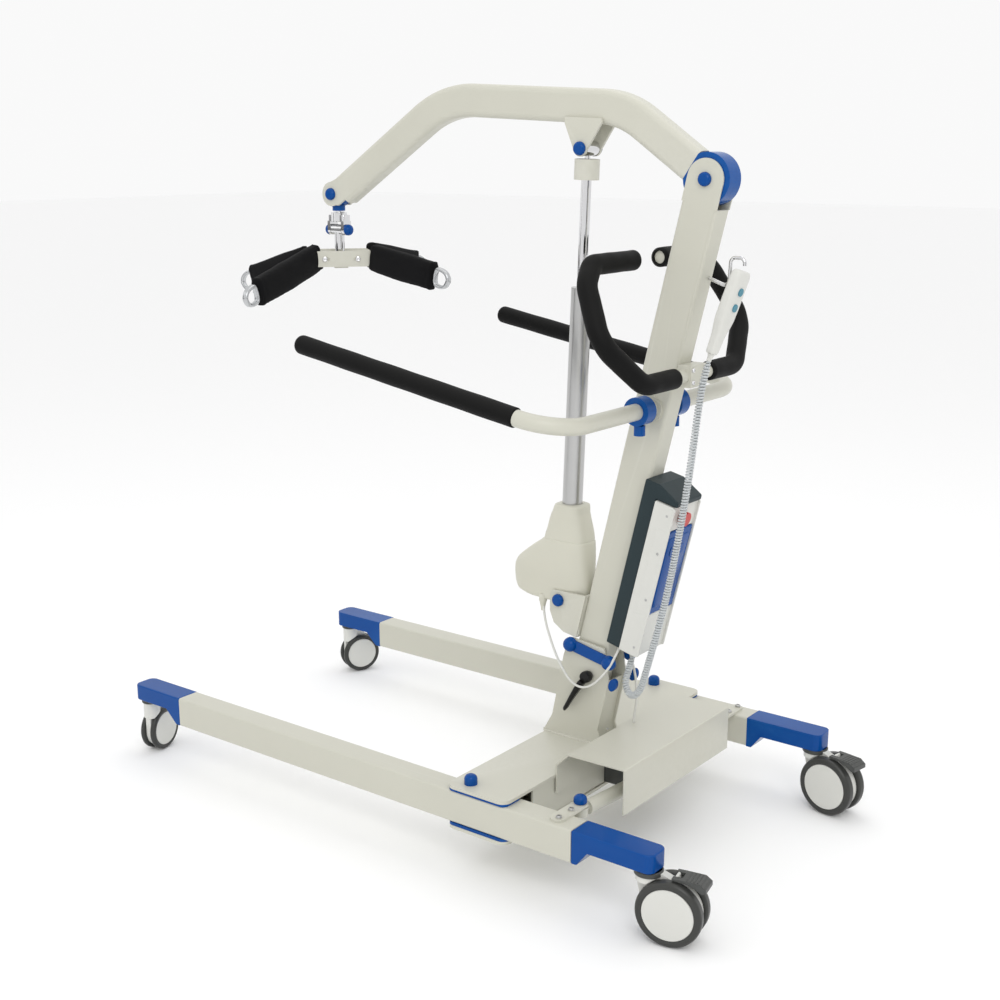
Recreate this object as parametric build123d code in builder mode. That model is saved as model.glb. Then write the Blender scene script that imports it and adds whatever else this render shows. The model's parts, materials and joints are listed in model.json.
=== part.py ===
import os
from math import cos, hypot, radians, sin, tan

from build123d import *

# Overall sizes, mm. Forward is -X, the near side is -Y, the floor is z = 0.
frame_shift = 488.0
leg_y = 337.4
leg_width = 56.0
leg_depth = 66.0
leg_top = 168.4
leg_length = 1071.6
nose_x = -1226.5
tail_x = 172.0
casting_underside = 132.0
deck_top = 180.0
deck_front = -293.0
deck_rear = -148.0
deck_reach = 368.0
body_reach = 275.0
flange_thickness = 6.3
pad_gap = 0.3
leg_pivot_x = -253.5
pivot_bolt_r = 8.0
running_gap = 0.05
side_gap = 0.4

# Casters.
front_stem_x = -1202.0
front_wheel_r = 50.0
front_trail = 25.0
front_half_width = 20.0
rear_stem_x = 150.5
rear_wheel_r = 62.5
rear_trail = 46.0
rear_half_width = 31.0
stem_r = 6.0

# Leg spreading linkage.
crank_x = -65.0
crank_r = 48.0
tie_z = 158.0
tie_r = 14.0
leg_lug_x = -45.0
leg_lug_y = 268.0
cover_reach = 203.0

# Mast and boom.
mast_tilt = 13.53
mast_depth = 75.0
mast_width = 50.0
mast_wall = 3.0
pivot_x = 41.9
pivot_z = 1321.0
mast_length = 961.5
boom_depth = 65.0
boom_width = 42.0
boom_corner = 12.0
boom_wall = 3.0
boom_rear_bend = (-143.2, 1448.2)
boom_front_bend = (-571.6, 1470.6)
boom_end = (-858.0, 1284.7)
tip_x = -887.0
tip_z = 1276.0
end_cap_r = 48.0
clevis_x = -229.0
clevis_z = 1374.0

# Actuator.
foot_x = -262.0
foot_z = 474.0
rod_r = 10.0
outer_tube_r = 20.5
cup_r = 24.5
cup_bore_r = 22.8
eye_neck_r = 5.5

# Hanger and spreader bar.
hub_r = 27.0
hub_half = 14.6
swivel_x = -884.5
yoke_z = 1199.0
plate_z = 1138.0
plate_turn = radians(47.7)
plate_offset = 39.0
plate_length = 150.0
bar_arms = [
    ((-867.0, 77.3, 1141.0), (-884.5, 252.0, 1109.0), 0.0),
    ((-809.0, 24.8, 1141.0), (-633.5, 23.0, 1109.0), 0.0),
    ((-960.0, -24.8, 1134.0), (-1135.5, -23.0, 1081.0), 0.0),
    ((-902.0, -77.3, 1134.0), (-884.5, -252.0, 1081.0), 30.0),
]
sleeve_height = 58.0
sleeve_thickness = 26.0

# Push handle and support arms.
handle_tube_r = 12.5
foam_r = 19.0
arm_x = -60.0
arm_z = 893.0
arm_y = 330.0
arm_r = 16.0
arm_rise = 9.5
arm_tip_x = -690.0
grip_start_x = -146.0

arm_flange_y = 47.6

lever_pivot = (-184, 328)

# Side outlines, (x, z).
socket_side = [
    (-300, 179), (-290, 196), (-276, 222), (-249, 358), (-238, 392),
    (-229, 400), (-150, 392), (-138, 325), (-163, 212), (-150, 179),
]
socket_front = [(-290, 179), (-275, 214), (-250, 345), (-246, 345), (-270, 214), (-282, 179)]
socket_rear = [(-158, 179), (-168, 212), (-146, 318), (-150, 318), (-173, 212), (-166, 179)]
cover_outline = [
    (-147.9, 140), (-147.9, 200), (-119, 229), (9, 231), (11, 229), (11, 138),
    (8, 138), (8, 228), (-118, 226), (-144.9, 199), (-144.9, 140),
]
foot_bracket = [
    (-218, 402), (-250, 408), (-274, 424), (-284, 448), (-284, 486), (-276, 494),
    (-196, 494),
]
foot_web = [(-218, 402), (-216, 408), (-199, 494), (-194.6, 494), (-216.6, 402)]

pin_r = 8.0
tip_pin_r = 7.0
yoke_pin_r = 5.0
swivel_r = 8.5
hub_low = 1240.0
block_top = 1150.0
boom_section = (boom_depth, boom_width)
motor_outline = [
    (-238, 654), (-292, 652), (-300, 610), (-345, 575), (-390, 538), (-390, 476), (-330, 466),
    (-222, 464), (-212, 480), (-212, 600),
]

# Control box and cords.
box_half_y = 50.0
cable_r = 2.5
curl_r = 7.5
handset_low = (67, -25, 1008)
crank_eye_r = 11.0
pedal_pin = (54.0, 128.0)
pedal_outline = [
    (49, 126.6), (49, 131), (62, 131.2), (100, 130.5), (112, 122), (112, 114), (104, 112),
    (92, 119.5), (75, 125),
]
casters = [
    ("front_near", front_stem_x, -1, 1.808, front_wheel_r, front_trail, front_half_width, 6.5, 19.0),
    ("front_far", front_stem_x, 1, 1.124, front_wheel_r, front_trail, front_half_width, 6.5, 19.0),
    ("rear_near", rear_stem_x, -1, 0.209, rear_wheel_r, rear_trail, rear_half_width, 9.0, 24.0),
    ("rear_far", rear_stem_x, 1, -0.169, rear_wheel_r, rear_trail, rear_half_width, 9.0, 24.0),
]
handle_route = [
    (-92, -49, 1172), (-92, -186, 1172), (-78, -223, 1140), (-25, -256, 1043), (12, -168, 961),
    (12, 168, 961), (-25, 256, 1043), (-78, 223, 1140), (-92, 186, 1172), (-92, 49, 1172),
]
handle_radii = [28, 60, 60, 48, 48, 60, 60, 28]
arm_tip_z = arm_z + (arm_x - arm_tip_x) * tan(radians(arm_rise))
arm_down = (cos(radians(arm_rise)), 0, -sin(radians(arm_rise)))
arm_bend_r = 88.0
cords = [
    ("handset_cord", [
        (66.5, -25.4, 1006), (60, -31, 978), (56, -42, 930), (49, -52, 819), (39, -55, 732), (25, -56, 642),
        (8, -56, 550), (-12, -56, 465), (-35, -54, 385), (-54, -47, 326), (-84, -36, 304), (-105, -26, 328),
        (-95.4, -22, 362), (-86.3, -22, 399.6),
    ], curl_r),
    ("actuator_cord", [
        (-309, -24, 464), (-304, -28, 430), (-276, -42, 385), (-242, -60, 350), (-205, -66, 312),
        (-165, -66, 312), (-130, -54, 352), (-118, -40, 385), (-113, -32, 406),
    ], cable_r),
    ("spreader_cord", [
        (-122, 12, 408.8), (-118, 14, 375), (-104, 16, 330), (-100, 16, 280), (-104, 14, 250), (-104, 12, 229.6),
    ], cable_r),
]

rear_run = hypot(pivot_x - boom_rear_bend[0], boom_rear_bend[1] - pivot_z)
boom_rear_direction = (
    (boom_rear_bend[0] - pivot_x) / rear_run, 0, (boom_rear_bend[1] - pivot_z) / rear_run,
)
boom_start = (pivot_x + 40 * boom_rear_direction[0], 0, pivot_z + 40 * boom_rear_direction[2])
boom_rear_bend_3d = (boom_rear_bend[0], 0, boom_rear_bend[1])
boom_front_bend_3d = (boom_front_bend[0], 0, boom_front_bend[1])
boom_end_3d = (boom_end[0], 0, boom_end[1])
boom_bend_radii = [180, 230]
tip_plate = [(-846, 1318), (-905, 1296), (-905, 1257), (-868, 1252), (-812, 1288)]
clevis_length = hypot(clevis_x - foot_x, clevis_z - foot_z)
tube_start = 181.0
tube_end = 636.0
rod_start = 300.0
rod_travel_down = 146.0
cup_start = 842.0
cup_end = 881.0
eye_low = 861.0

box_out = (cos(radians(mast_tilt)), 0, -sin(radians(mast_tilt)))
button_origin = (
    pivot_x + 112 * cos(radians(mast_tilt)) - 626 * sin(radians(mast_tilt)), -10,
    pivot_z - 112 * sin(radians(mast_tilt)) - 626 * cos(radians(mast_tilt)),
)

mast_plane = Plane(
    origin=(pivot_x, 0, pivot_z),
    x_dir=(cos(radians(mast_tilt)), 0, -sin(radians(mast_tilt))),
    z_dir=(sin(radians(mast_tilt)), 0, cos(radians(mast_tilt))),
)
actuator_plane = Plane(
    origin=(foot_x, 0, foot_z),
    x_dir=(clevis_z - foot_z, 0, foot_x - clevis_x),
    z_dir=(clevis_x - foot_x, 0, clevis_z - foot_z),
)
side_plane = Plane.XZ


def save(part, name):
    part.label = name
    export_step(part.moved(Location((frame_shift, 0, 0))), f"parts/{name}.step")


def cap_at(origin, direction, radius=13.0, height=9.0):
    """Domed push-on cap that stands on a face and points along direction."""
    with BuildPart() as cap:
        with BuildSketch(Plane(origin=origin, z_dir=direction)):
            Circle(radius)
        extrude(amount=height)
        fillet(cap.faces().sort_by(Axis(origin, direction))[-1].edges(), min(0.72 * height, 0.72 * radius))
    return cap.part


def rod_between(start, end, radius):
    """Round bar between two points."""
    span = Vector(end) - Vector(start)
    with BuildPart() as bar:
        with BuildSketch(Plane(origin=start, z_dir=span)):
            Circle(radius)
        extrude(amount=span.length)
    return bar.part


def tube_along(points, radii, outer, inner=0.0):
    """Round tube swept along straight runs joined by arcs."""
    with BuildPart() as tube:
        with BuildLine() as path:
            FilletPolyline(*points, radius=radii)
        with BuildSketch(path.line ^ 0):
            Circle(outer)
            if inner:
                Circle(inner, mode=Mode.SUBTRACT)
        sweep(path=path.line)
    return tube.part


def smooth_route(points):
    """Cord centre line with tangent arcs at every corner, and its radii."""
    radii = []
    for a, b, c in zip(points, points[1:], points[2:]):
        u = Vector(b) - Vector(a)
        v = Vector(c) - Vector(b)
        turn = radians(u.get_angle(v))
        radii.append(round(0.45 * min(u.length, v.length) / tan(turn / 2), 2))
    return radii


os.makedirs("parts", exist_ok=True)

# ---------------------------------------------------------------- base frame
deck_mid = (deck_front + deck_rear) / 2
deck_size = deck_rear - deck_front
low_flange_top = leg_top - leg_depth - pad_gap - 5.0
with BuildPart() as base_frame:
    with BuildSketch(Plane.XY.offset(deck_top - flange_thickness)):
        with Locations((deck_mid, 0)):
            RectangleRounded(deck_size, 2 * deck_reach, 20)
    extrude(amount=flange_thickness)
    with BuildSketch(Plane.XY.offset(low_flange_top - flange_thickness)):
        with Locations((deck_mid, 0)):
            RectangleRounded(deck_size, 2 * deck_reach, 20)
    extrude(amount=flange_thickness)
    with BuildSketch(side_plane.offset(-body_reach)):
        with Locations((deck_mid, (deck_top + low_flange_top - flange_thickness) / 2)):
            Rectangle(deck_size - 6, deck_top - low_flange_top + flange_thickness)
            Rectangle(deck_size - 14, deck_top - low_flange_top - flange_thickness, mode=Mode.SUBTRACT)
    extrude(amount=2 * body_reach)
    for y in (-leg_y, leg_y):
        with Locations((leg_pivot_x, y, deck_top / 2)):
            Hole(pivot_bolt_r, depth=300)
    for y in (-34, 30):
        with BuildSketch(side_plane.offset(y)):
            with BuildLine():
                Polyline(socket_side, close=True)
            make_face()
        extrude(amount=4)
    with BuildSketch(side_plane.offset(-30)):
        with BuildLine():
            Polyline(socket_front, close=True)
        make_face()
        with BuildLine():
            Polyline(socket_rear, close=True)
        make_face()
    extrude(amount=60)
    with BuildSketch(mast_plane.offset(90 - mast_length)):
        RectangleRounded(mast_depth - 2 * mast_wall - 1, mast_width - 2 * mast_wall - 1, 3.5)
    extrude(amount=-300)
    with BuildSketch(side_plane.offset(29)):
        with Locations(lever_pivot):
            Circle(5 + running_gap)
    extrude(amount=6, mode=Mode.SUBTRACT)
save(base_frame.part, "base_frame")

# Plastic pads either side of each leg, pivot bolts and domed caps, and the
# caps and pins that stay with the base.
with BuildPart() as pivot_caps:
    for y in (-leg_y, leg_y):
        for z, thick in ((leg_top + pad_gap, 5.0), (low_flange_top, 5.0)):
            with BuildSketch(Plane.XY.offset(z)):
                with Locations((deck_mid, y)):
                    RectangleRounded(deck_size - 4, 58, 14)
                with Locations((leg_pivot_x, y)):
                    Circle(pivot_bolt_r, mode=Mode.SUBTRACT)
            extrude(amount=thick)
        with BuildSketch(Plane.XY.offset(low_flange_top - flange_thickness)):
            with Locations((leg_pivot_x, y)):
                Circle(pivot_bolt_r)
        extrude(amount=deck_top - low_flange_top + flange_thickness)
        add(cap_at((leg_pivot_x, y, deck_top), (0, 0, 1), 13, 20))
    for x, z, half in ((pivot_x, pivot_z, 25.0), (foot_x, foot_z, 36.0)):
        with BuildSketch(side_plane.offset(-half)):
            with Locations((x, z)):
                Circle(pin_r)
        extrude(amount=2 * half)
        for side in (-1, 1):
            add(cap_at((x, side * half, z), (0, side, 0)))
save(pivot_caps.part, "pivot_caps")

with BuildPart() as spreader_cover:
    with BuildSketch(side_plane.offset(-cover_reach)):
        with BuildLine():
            Polyline(cover_outline, close=True)
        make_face()
    extrude(amount=2 * cover_reach)
    with BuildSketch(Plane.XY.offset(138)):
        with Locations((8.5, 0)):
            RectangleRounded(5, 2 * cover_reach - 12, 2.4)
    extrude(amount=6)
save(spreader_cover.part, "spreader_cover")

with BuildPart() as gearmotor:
    with BuildSketch(Plane.XY.offset(100)):
        with Locations((crank_x, 0)):
            Circle(30)
    extrude(amount=42)
    with BuildSketch(Plane.XY.offset(100)):
        with Locations((crank_x - 50.5, 0)):
            Rectangle(69, 50)
    extrude(amount=38)
    with BuildSketch(Plane.XY.offset(142)):
        with Locations((crank_x, 0)):
            Circle(10)
    extrude(amount=36)
save(gearmotor.part, "gearmotor")

# ---------------------------------------------------------------- mast
with BuildPart() as mast:
    with BuildSketch(mast_plane.offset(-mast_length)):
        RectangleRounded(mast_depth, mast_width, 6)
        RectangleRounded(mast_depth - 2 * mast_wall, mast_width - 2 * mast_wall, 3, mode=Mode.SUBTRACT)
    extrude(amount=mast_length - 46)
    with BuildSketch(Plane(origin=mast_plane.origin, x_dir=mast_plane.x_dir, z_dir=(0, -1, 0)).offset(-25)):
        with Locations((0, -24)):
            Rectangle(mast_depth, 48)
        Circle(mast_depth / 2)
        Circle(pin_r + running_gap, mode=Mode.SUBTRACT)
    extrude(amount=50)
    with BuildSketch(Plane(origin=mast_plane.origin, x_dir=mast_plane.x_dir, z_dir=(0, -1, 0)).offset(-22)):
        Rectangle(200, 96)
    extrude(amount=44, mode=Mode.SUBTRACT)
    with BuildSketch(side_plane.offset(-arm_flange_y)):
        with Locations((arm_x, arm_z)):
            Circle(19.5)
    extrude(amount=2 * arm_flange_y)
    for side in (-1, 1):
        with BuildSketch(side_plane.offset(-side * 25)):
            with Locations((arm_x, arm_z)):
                Circle(27)
        extrude(amount=-side * 6)
    with BuildSketch(side_plane.offset(-arm_flange_y - 1)):
        with Locations((arm_x, arm_z)):
            Circle(arm_r + running_gap)
    extrude(amount=2 * arm_flange_y + 2, mode=Mode.SUBTRACT)
    with BuildSketch(side_plane.offset(-35)):
        with BuildLine():
            Polyline(foot_bracket, close=True)
        make_face()
        with Locations((foot_x, foot_z)):
            Circle(pin_r, mode=Mode.SUBTRACT)
    extrude(amount=4)
    with BuildSketch(side_plane.offset(31)):
        with BuildLine():
            Polyline(foot_bracket, close=True)
        make_face()
        with Locations((foot_x, foot_z)):
            Circle(pin_r, mode=Mode.SUBTRACT)
    extrude(amount=4)
    with BuildSketch(side_plane.offset(-31)):
        with BuildLine():
            Polyline(foot_web, close=True)
        make_face()
    extrude(amount=62)
save(mast.part, "mast")

# ---------------------------------------------------------------- boom
with BuildPart() as boom_tube:
    with BuildLine() as boom_path:
        FilletPolyline(boom_start, boom_rear_bend_3d, boom_front_bend_3d, boom_end_3d, radius=boom_bend_radii)
    with BuildSketch(boom_path.line ^ 0):
        RectangleRounded(boom_section[0], boom_section[1], boom_corner)
        RectangleRounded(
            boom_section[0] - 2 * boom_wall, boom_section[1] - 2 * boom_wall,
            boom_corner - boom_wall, mode=Mode.SUBTRACT,
        )
    sweep(path=boom_path.line)
    for y in (-21, 15):
        with BuildSketch(side_plane.offset(y)):
            with BuildLine():
                Polyline(tip_plate, close=True)
            make_face()
            with Locations((tip_x, tip_z)):
                Circle(26)
                Circle(tip_pin_r, mode=Mode.SUBTRACT)
        extrude(amount=6)
save(boom_tube.part, "boom_tube")

with BuildPart() as boom_end_cap:
    with BuildSketch(side_plane.offset(-boom_width / 2)):
        with Locations((pivot_x, pivot_z)):
            Circle(end_cap_r)
            Circle(pin_r + running_gap, mode=Mode.SUBTRACT)
    extrude(amount=boom_width)
    split(bisect_by=Plane(origin=boom_start, z_dir=boom_rear_direction), keep=Keep.BOTTOM)
save(boom_end_cap.part, "boom_end_cap")

with BuildPart() as boom_clevis:
    for y in (-27, 21.0):
        with BuildSketch(side_plane.offset(y)):
            with BuildLine():
                Polyline((-265, 1433), (-181, 1429), (-181, 1421), (-214, 1372), (-244, 1372), (-265, 1421), close=True)
            make_face()
            with Locations((clevis_x, clevis_z)):
                Circle(15)
                Circle(pin_r, mode=Mode.SUBTRACT)
        extrude(amount=6)
save(boom_clevis.part, "boom_clevis")

with BuildPart() as boom_pins:
    for x, z, half, radius in ((clevis_x, clevis_z, 27.0, pin_r), (tip_x, tip_z, 21.0, tip_pin_r)):
        with BuildSketch(side_plane.offset(-half)):
            with Locations((x, z)):
                Circle(radius)
        extrude(amount=2 * half)
        for side in (-1, 1):
            add(cap_at((x, side * half, z), (0, side, 0)))
save(boom_pins.part, "boom_pins")

# ---------------------------------------------------------------- hanger
with BuildPart() as hanger_hub:
    with BuildSketch(side_plane.offset(-hub_half)):
        with Locations((tip_x, tip_z)):
            Circle(hub_r)
            Circle(tip_pin_r + running_gap, mode=Mode.SUBTRACT)
    extrude(amount=2 * hub_half)
    with BuildSketch(Plane.XY.offset(hub_low)):
        with Locations((swivel_x, 0)):
            Circle(14)
    extrude(amount=12)
    with BuildSketch(Plane.XY.offset(hub_low - 1)):
        with Locations((swivel_x, 0)):
            Circle(swivel_r + running_gap)
    extrude(amount=13, mode=Mode.SUBTRACT)
save(hanger_hub.part, "hanger_hub")

with BuildPart() as hanger_yoke:
    with BuildSketch(Plane.XY.offset(1217)):
        with Locations((swivel_x, 0)):
            RectangleRounded(48, 24, 5)
    extrude(amount=14)
    with BuildSketch(Plane.XY.offset(1231)):
        with Locations((swivel_x, 0)):
            Circle(swivel_r)
    extrude(amount=hub_low + 11 - 1231)
    with BuildSketch(Plane.XY.offset(1231)):
        with Locations((swivel_x, 0)):
            Circle(12)
    extrude(amount=4)
    for x in (-24, 16):
        with BuildSketch(Plane.YZ.offset(swivel_x + x)):
            with Locations((0, 1208)):
                Rectangle(24, 20)
            with Locations((0, yoke_z)):
                Circle(12)
                Circle(yoke_pin_r, mode=Mode.SUBTRACT)
        extrude(amount=8)
save(hanger_yoke.part, "hanger_yoke")

with BuildPart() as yoke_pin:
    with BuildSketch(Plane.YZ.offset(swivel_x - 24)):
        with Locations((0, yoke_z)):
            Circle(yoke_pin_r)
    extrude(amount=48)
    for side in (-1, 1):
        add(cap_at((swivel_x + side * 24, 0, yoke_z), (side, 0, 0), 12, 12))
save(yoke_pin.part, "yoke_pin")

with BuildPart() as spreader_stem:
    with BuildSketch(Plane.YZ.offset(swivel_x - 15)):
        with Locations((0, yoke_z)):
            Circle(12)
    extrude(amount=30)
    with BuildSketch(Plane.XY.offset(block_top)):
        with Locations((swivel_x, 0)):
            Circle(11)
    extrude(amount=yoke_z - block_top)
    with BuildSketch(Plane.YZ.offset(swivel_x - 20)):
        with Locations((0, yoke_z)):
            Circle(yoke_pin_r + running_gap)
    extrude(amount=40, mode=Mode.SUBTRACT)
save(spreader_stem.part, "spreader_stem")

plate_plane = Plane(origin=(swivel_x, 0, plate_z), x_dir=(sin(plate_turn), -cos(plate_turn), 0))
with BuildPart() as spreader_frame:
    with BuildSketch(plate_plane.offset(-20)):
        RectangleRounded(2 * plate_offset - 6, 30, 4)
    extrude(amount=block_top - plate_z + 20)
    for side in (-1, 1):
        face = Plane(
            origin=plate_plane.from_local_coords((side * plate_offset - 3, 0, 0)),
            x_dir=plate_plane.y_dir, z_dir=plate_plane.x_dir,
        )
        with BuildSketch(face):
            SlotOverall(plate_length, 34)
            with Locations((-30, 0), (30, 0)):
                Circle(4.5, mode=Mode.SUBTRACT)
        extrude(amount=6)
save(spreader_frame.part, "spreader_frame")

arm_ends = []
with BuildPart() as arm_sleeves:
    for inner, outer, extra in bar_arms:
        span = Vector(outer) - Vector(inner)
        along = span.normalized()
        start = Vector(inner) - along * extra
        arm_ends.append((Vector(outer), along))
        with BuildSketch(Plane(origin=start, x_dir=Vector(0, 0, 1).cross(span), z_dir=span)):
            RectangleRounded(sleeve_thickness, sleeve_height, 10)
        extrude(amount=span.length + extra)
    for side in (-1, 1):
        face = Plane(
            origin=plate_plane.from_local_coords((side * plate_offset - 3.2, 0, 0)),
            x_dir=plate_plane.y_dir, z_dir=plate_plane.x_dir,
        )
        with BuildSketch(face):
            SlotOverall(plate_length + 1, 35)
        extrude(amount=6.4, mode=Mode.SUBTRACT)
save(arm_sleeves.part, "arm_sleeves")

with BuildPart() as sling_hooks:
    for outer, along in arm_ends:
        start = outer + along * 0.4
        side = Vector(0, 0, 1).cross(along).normalized()
        with BuildSketch(Plane(origin=start, x_dir=along, z_dir=side).offset(-3.5)):
            with BuildLine():
                Polyline((0, -21), (0, 21), (6, 21), (34, 17), (45, 2), (38, -16), (22, -23), close=True)
            make_face()
            with BuildLine():
                Polyline((6, -13), (6, 13), (30, 10), (37, 0), (31, -11), (20, -16), close=True)
            make_face(mode=Mode.SUBTRACT)
        extrude(amount=7)
save(sling_hooks.part, "sling_hooks")

# ---------------------------------------------------------------- actuator
with BuildPart() as actuator_motor:
    with BuildSketch(side_plane.offset(-30)):
        with BuildLine():
            Polyline(motor_outline, close=True)
        make_face()
        with Locations((foot_x, foot_z)):
            Circle(pin_r + running_gap, mode=Mode.SUBTRACT)
    extrude(amount=60)
    flat_edges = actuator_motor.edges().filter_by(GeomType.LINE).filter_by(Axis.Y, reverse=True)
    fillet(flat_edges.group_by(Axis.Y)[0], 6)
    fillet(flat_edges.group_by(Axis.Y)[-1], 6)
    with BuildSketch(actuator_plane.offset(rod_start - rod_travel_down)):
        Circle(rod_r + 1)
    extrude(amount=tube_start + 40 - rod_start + rod_travel_down, mode=Mode.SUBTRACT)
save(actuator_motor.part, "actuator_motor")

with BuildPart() as actuator_tube:
    with BuildSketch(actuator_plane.offset(tube_start)):
        Circle(28.5)
        Circle(rod_r + running_gap, mode=Mode.SUBTRACT)
    extrude(amount=16)
    with BuildSketch(actuator_plane.offset(tube_start + 16)):
        Circle(outer_tube_r)
        Circle(rod_r + running_gap, mode=Mode.SUBTRACT)
    extrude(amount=tube_end - tube_start - 16)
save(actuator_tube.part, "actuator_tube")

with BuildPart() as actuator_rod:
    with BuildSketch(actuator_plane.offset(rod_start)):
        Circle(rod_r)
    extrude(amount=cup_start - rod_start)
save(actuator_rod.part, "actuator_rod")

with BuildPart() as rod_cup:
    with BuildSketch(actuator_plane.offset(cup_start)):
        Circle(cup_r)
    extrude(amount=cup_end - cup_start)
    with BuildSketch(actuator_plane.offset(cup_start + 5)):
        Circle(cup_bore_r)
    extrude(amount=cup_end - cup_start, mode=Mode.SUBTRACT)
save(rod_cup.part, "rod_cup")

with BuildPart() as rod_eye:
    with BuildSketch(side_plane.offset(-20.6)):
        with Locations((clevis_x, clevis_z)):
            Circle(14)
            Circle(pin_r + running_gap, mode=Mode.SUBTRACT)
    extrude(amount=41.2)
    with BuildSketch(actuator_plane.offset(eye_low)):
        Circle(eye_neck_r)
    extrude(amount=clevis_length - eye_low - 9.5)
save(rod_eye.part, "rod_eye")

# ---------------------------------------------------------------- legs
for side, word in ((-1, "near"), (1, "far")):
    y = side * leg_y
    with BuildPart() as leg:
        with BuildSketch(Plane.YZ.offset(-leg_length)):
            with Locations((y, leg_top - leg_depth / 2)):
                RectangleRounded(leg_width, leg_depth, 5)
                RectangleRounded(leg_width - 6, leg_depth - 6, 2, mode=Mode.SUBTRACT)
        extrude(amount=leg_length)
        with BuildSketch(Plane.XY.offset(leg_top)):
            with Locations((leg_lug_x, side * (leg_lug_y + 36))):
                RectangleRounded(30, 102, 14)
        extrude(amount=5)
        with BuildSketch(Plane.XY.offset(leg_top - leg_depth - 1)):
            with Locations((leg_pivot_x, y)):
                Circle(pivot_bolt_r + running_gap)
        extrude(amount=leg_depth + 2, mode=Mode.SUBTRACT)
        for screw_y in (304, 344):
            with Locations((leg_lug_x + 4, side * screw_y, leg_top + 5)):
                Cylinder(5, 6)
    save(leg.part, f"leg_{word}")

    with BuildPart() as castings:
        with BuildSketch(side_plane.offset(-y - leg_width / 2)):
            with BuildLine():
                Polyline(
                    (0.1, leg_top), (tail_x, leg_top), (tail_x, casting_underside),
                    (35, casting_underside), (12, leg_top - leg_depth), (0.1, leg_top - leg_depth),
                    close=True,
                )
            make_face()
            with BuildLine():
                Polyline(
                    (-leg_length - 0.1, leg_top), (nose_x, leg_top), (nose_x, casting_underside),
                    (-1118, casting_underside), (-1086, leg_top - leg_depth),
                    (-leg_length - 0.1, leg_top - leg_depth), close=True,
                )
            make_face()
        extrude(amount=leg_width)
        with BuildSketch(Plane.XY.offset(90)):
            with Locations(((nose_x + tail_x) / 2, y)):
                RectangleRounded(tail_x - nose_x, leg_width, 16)
        extrude(amount=100, mode=Mode.INTERSECT)
        for x in (front_stem_x, rear_stem_x):
            with BuildSketch(Plane.XY.offset(casting_underside)):
                with Locations((x, y)):
                    Circle(stem_r + running_gap)
            extrude(amount=28, mode=Mode.SUBTRACT)
        with BuildSketch(Plane.XY.offset(tie_z - 10)):
            with Locations((leg_lug_x, side * leg_lug_y)):
                Circle(6)
        extrude(amount=leg_top - tie_z + 10)
        add(cap_at((leg_lug_x, side * leg_lug_y, leg_top + 5), (0, 0, 1), 13, 17))
    save(castings.part, f"leg_castings_{word}")

    pin_x = crank_x - side * crank_r
    lug_point = Vector(leg_lug_x, side * leg_lug_y, tie_z)
    pin_point = Vector(pin_x, 0, tie_z)
    along = (pin_point - lug_point).normalized()
    with BuildPart() as tie_rod:
        add(rod_between(lug_point + along * 20, pin_point - along * 78, tie_r))
        add(rod_between(lug_point + along * 12, lug_point + along * 22, 7.2))
        add(rod_between(pin_point - along * 82, pin_point - along * 12, 7.2))
        with BuildSketch(Plane.XY.offset(tie_z - 8)):
            with Locations((leg_lug_x, side * leg_lug_y)):
                Circle(15)
            with Locations((pin_x, 0)):
                Circle(16)
        extrude(amount=16)
        with BuildSketch(Plane.XY.offset(tie_z - 20)):
            with Locations((leg_lug_x, side * leg_lug_y)):
                Circle(6 + running_gap)
            with Locations((pin_x, 0)):
                Circle(crank_eye_r)
        extrude(amount=40, mode=Mode.SUBTRACT)
    save(tie_rod.part, f"tie_rod_{word}")

with BuildPart() as spreader_crank:
    with BuildSketch(Plane.XY.offset(142.4)):
        with Locations((crank_x, 0)):
            SlotOverall(2 * crank_r + 24, 24)
            Circle(10 + running_gap, mode=Mode.SUBTRACT)
    extrude(amount=5.6)
    with BuildSketch(Plane.XY.offset(148)):
        with Locations((crank_x - crank_r, 0), (crank_x + crank_r, 0)):
            Circle(5)
    extrude(amount=20)
save(spreader_crank.part, "spreader_crank")

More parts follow.
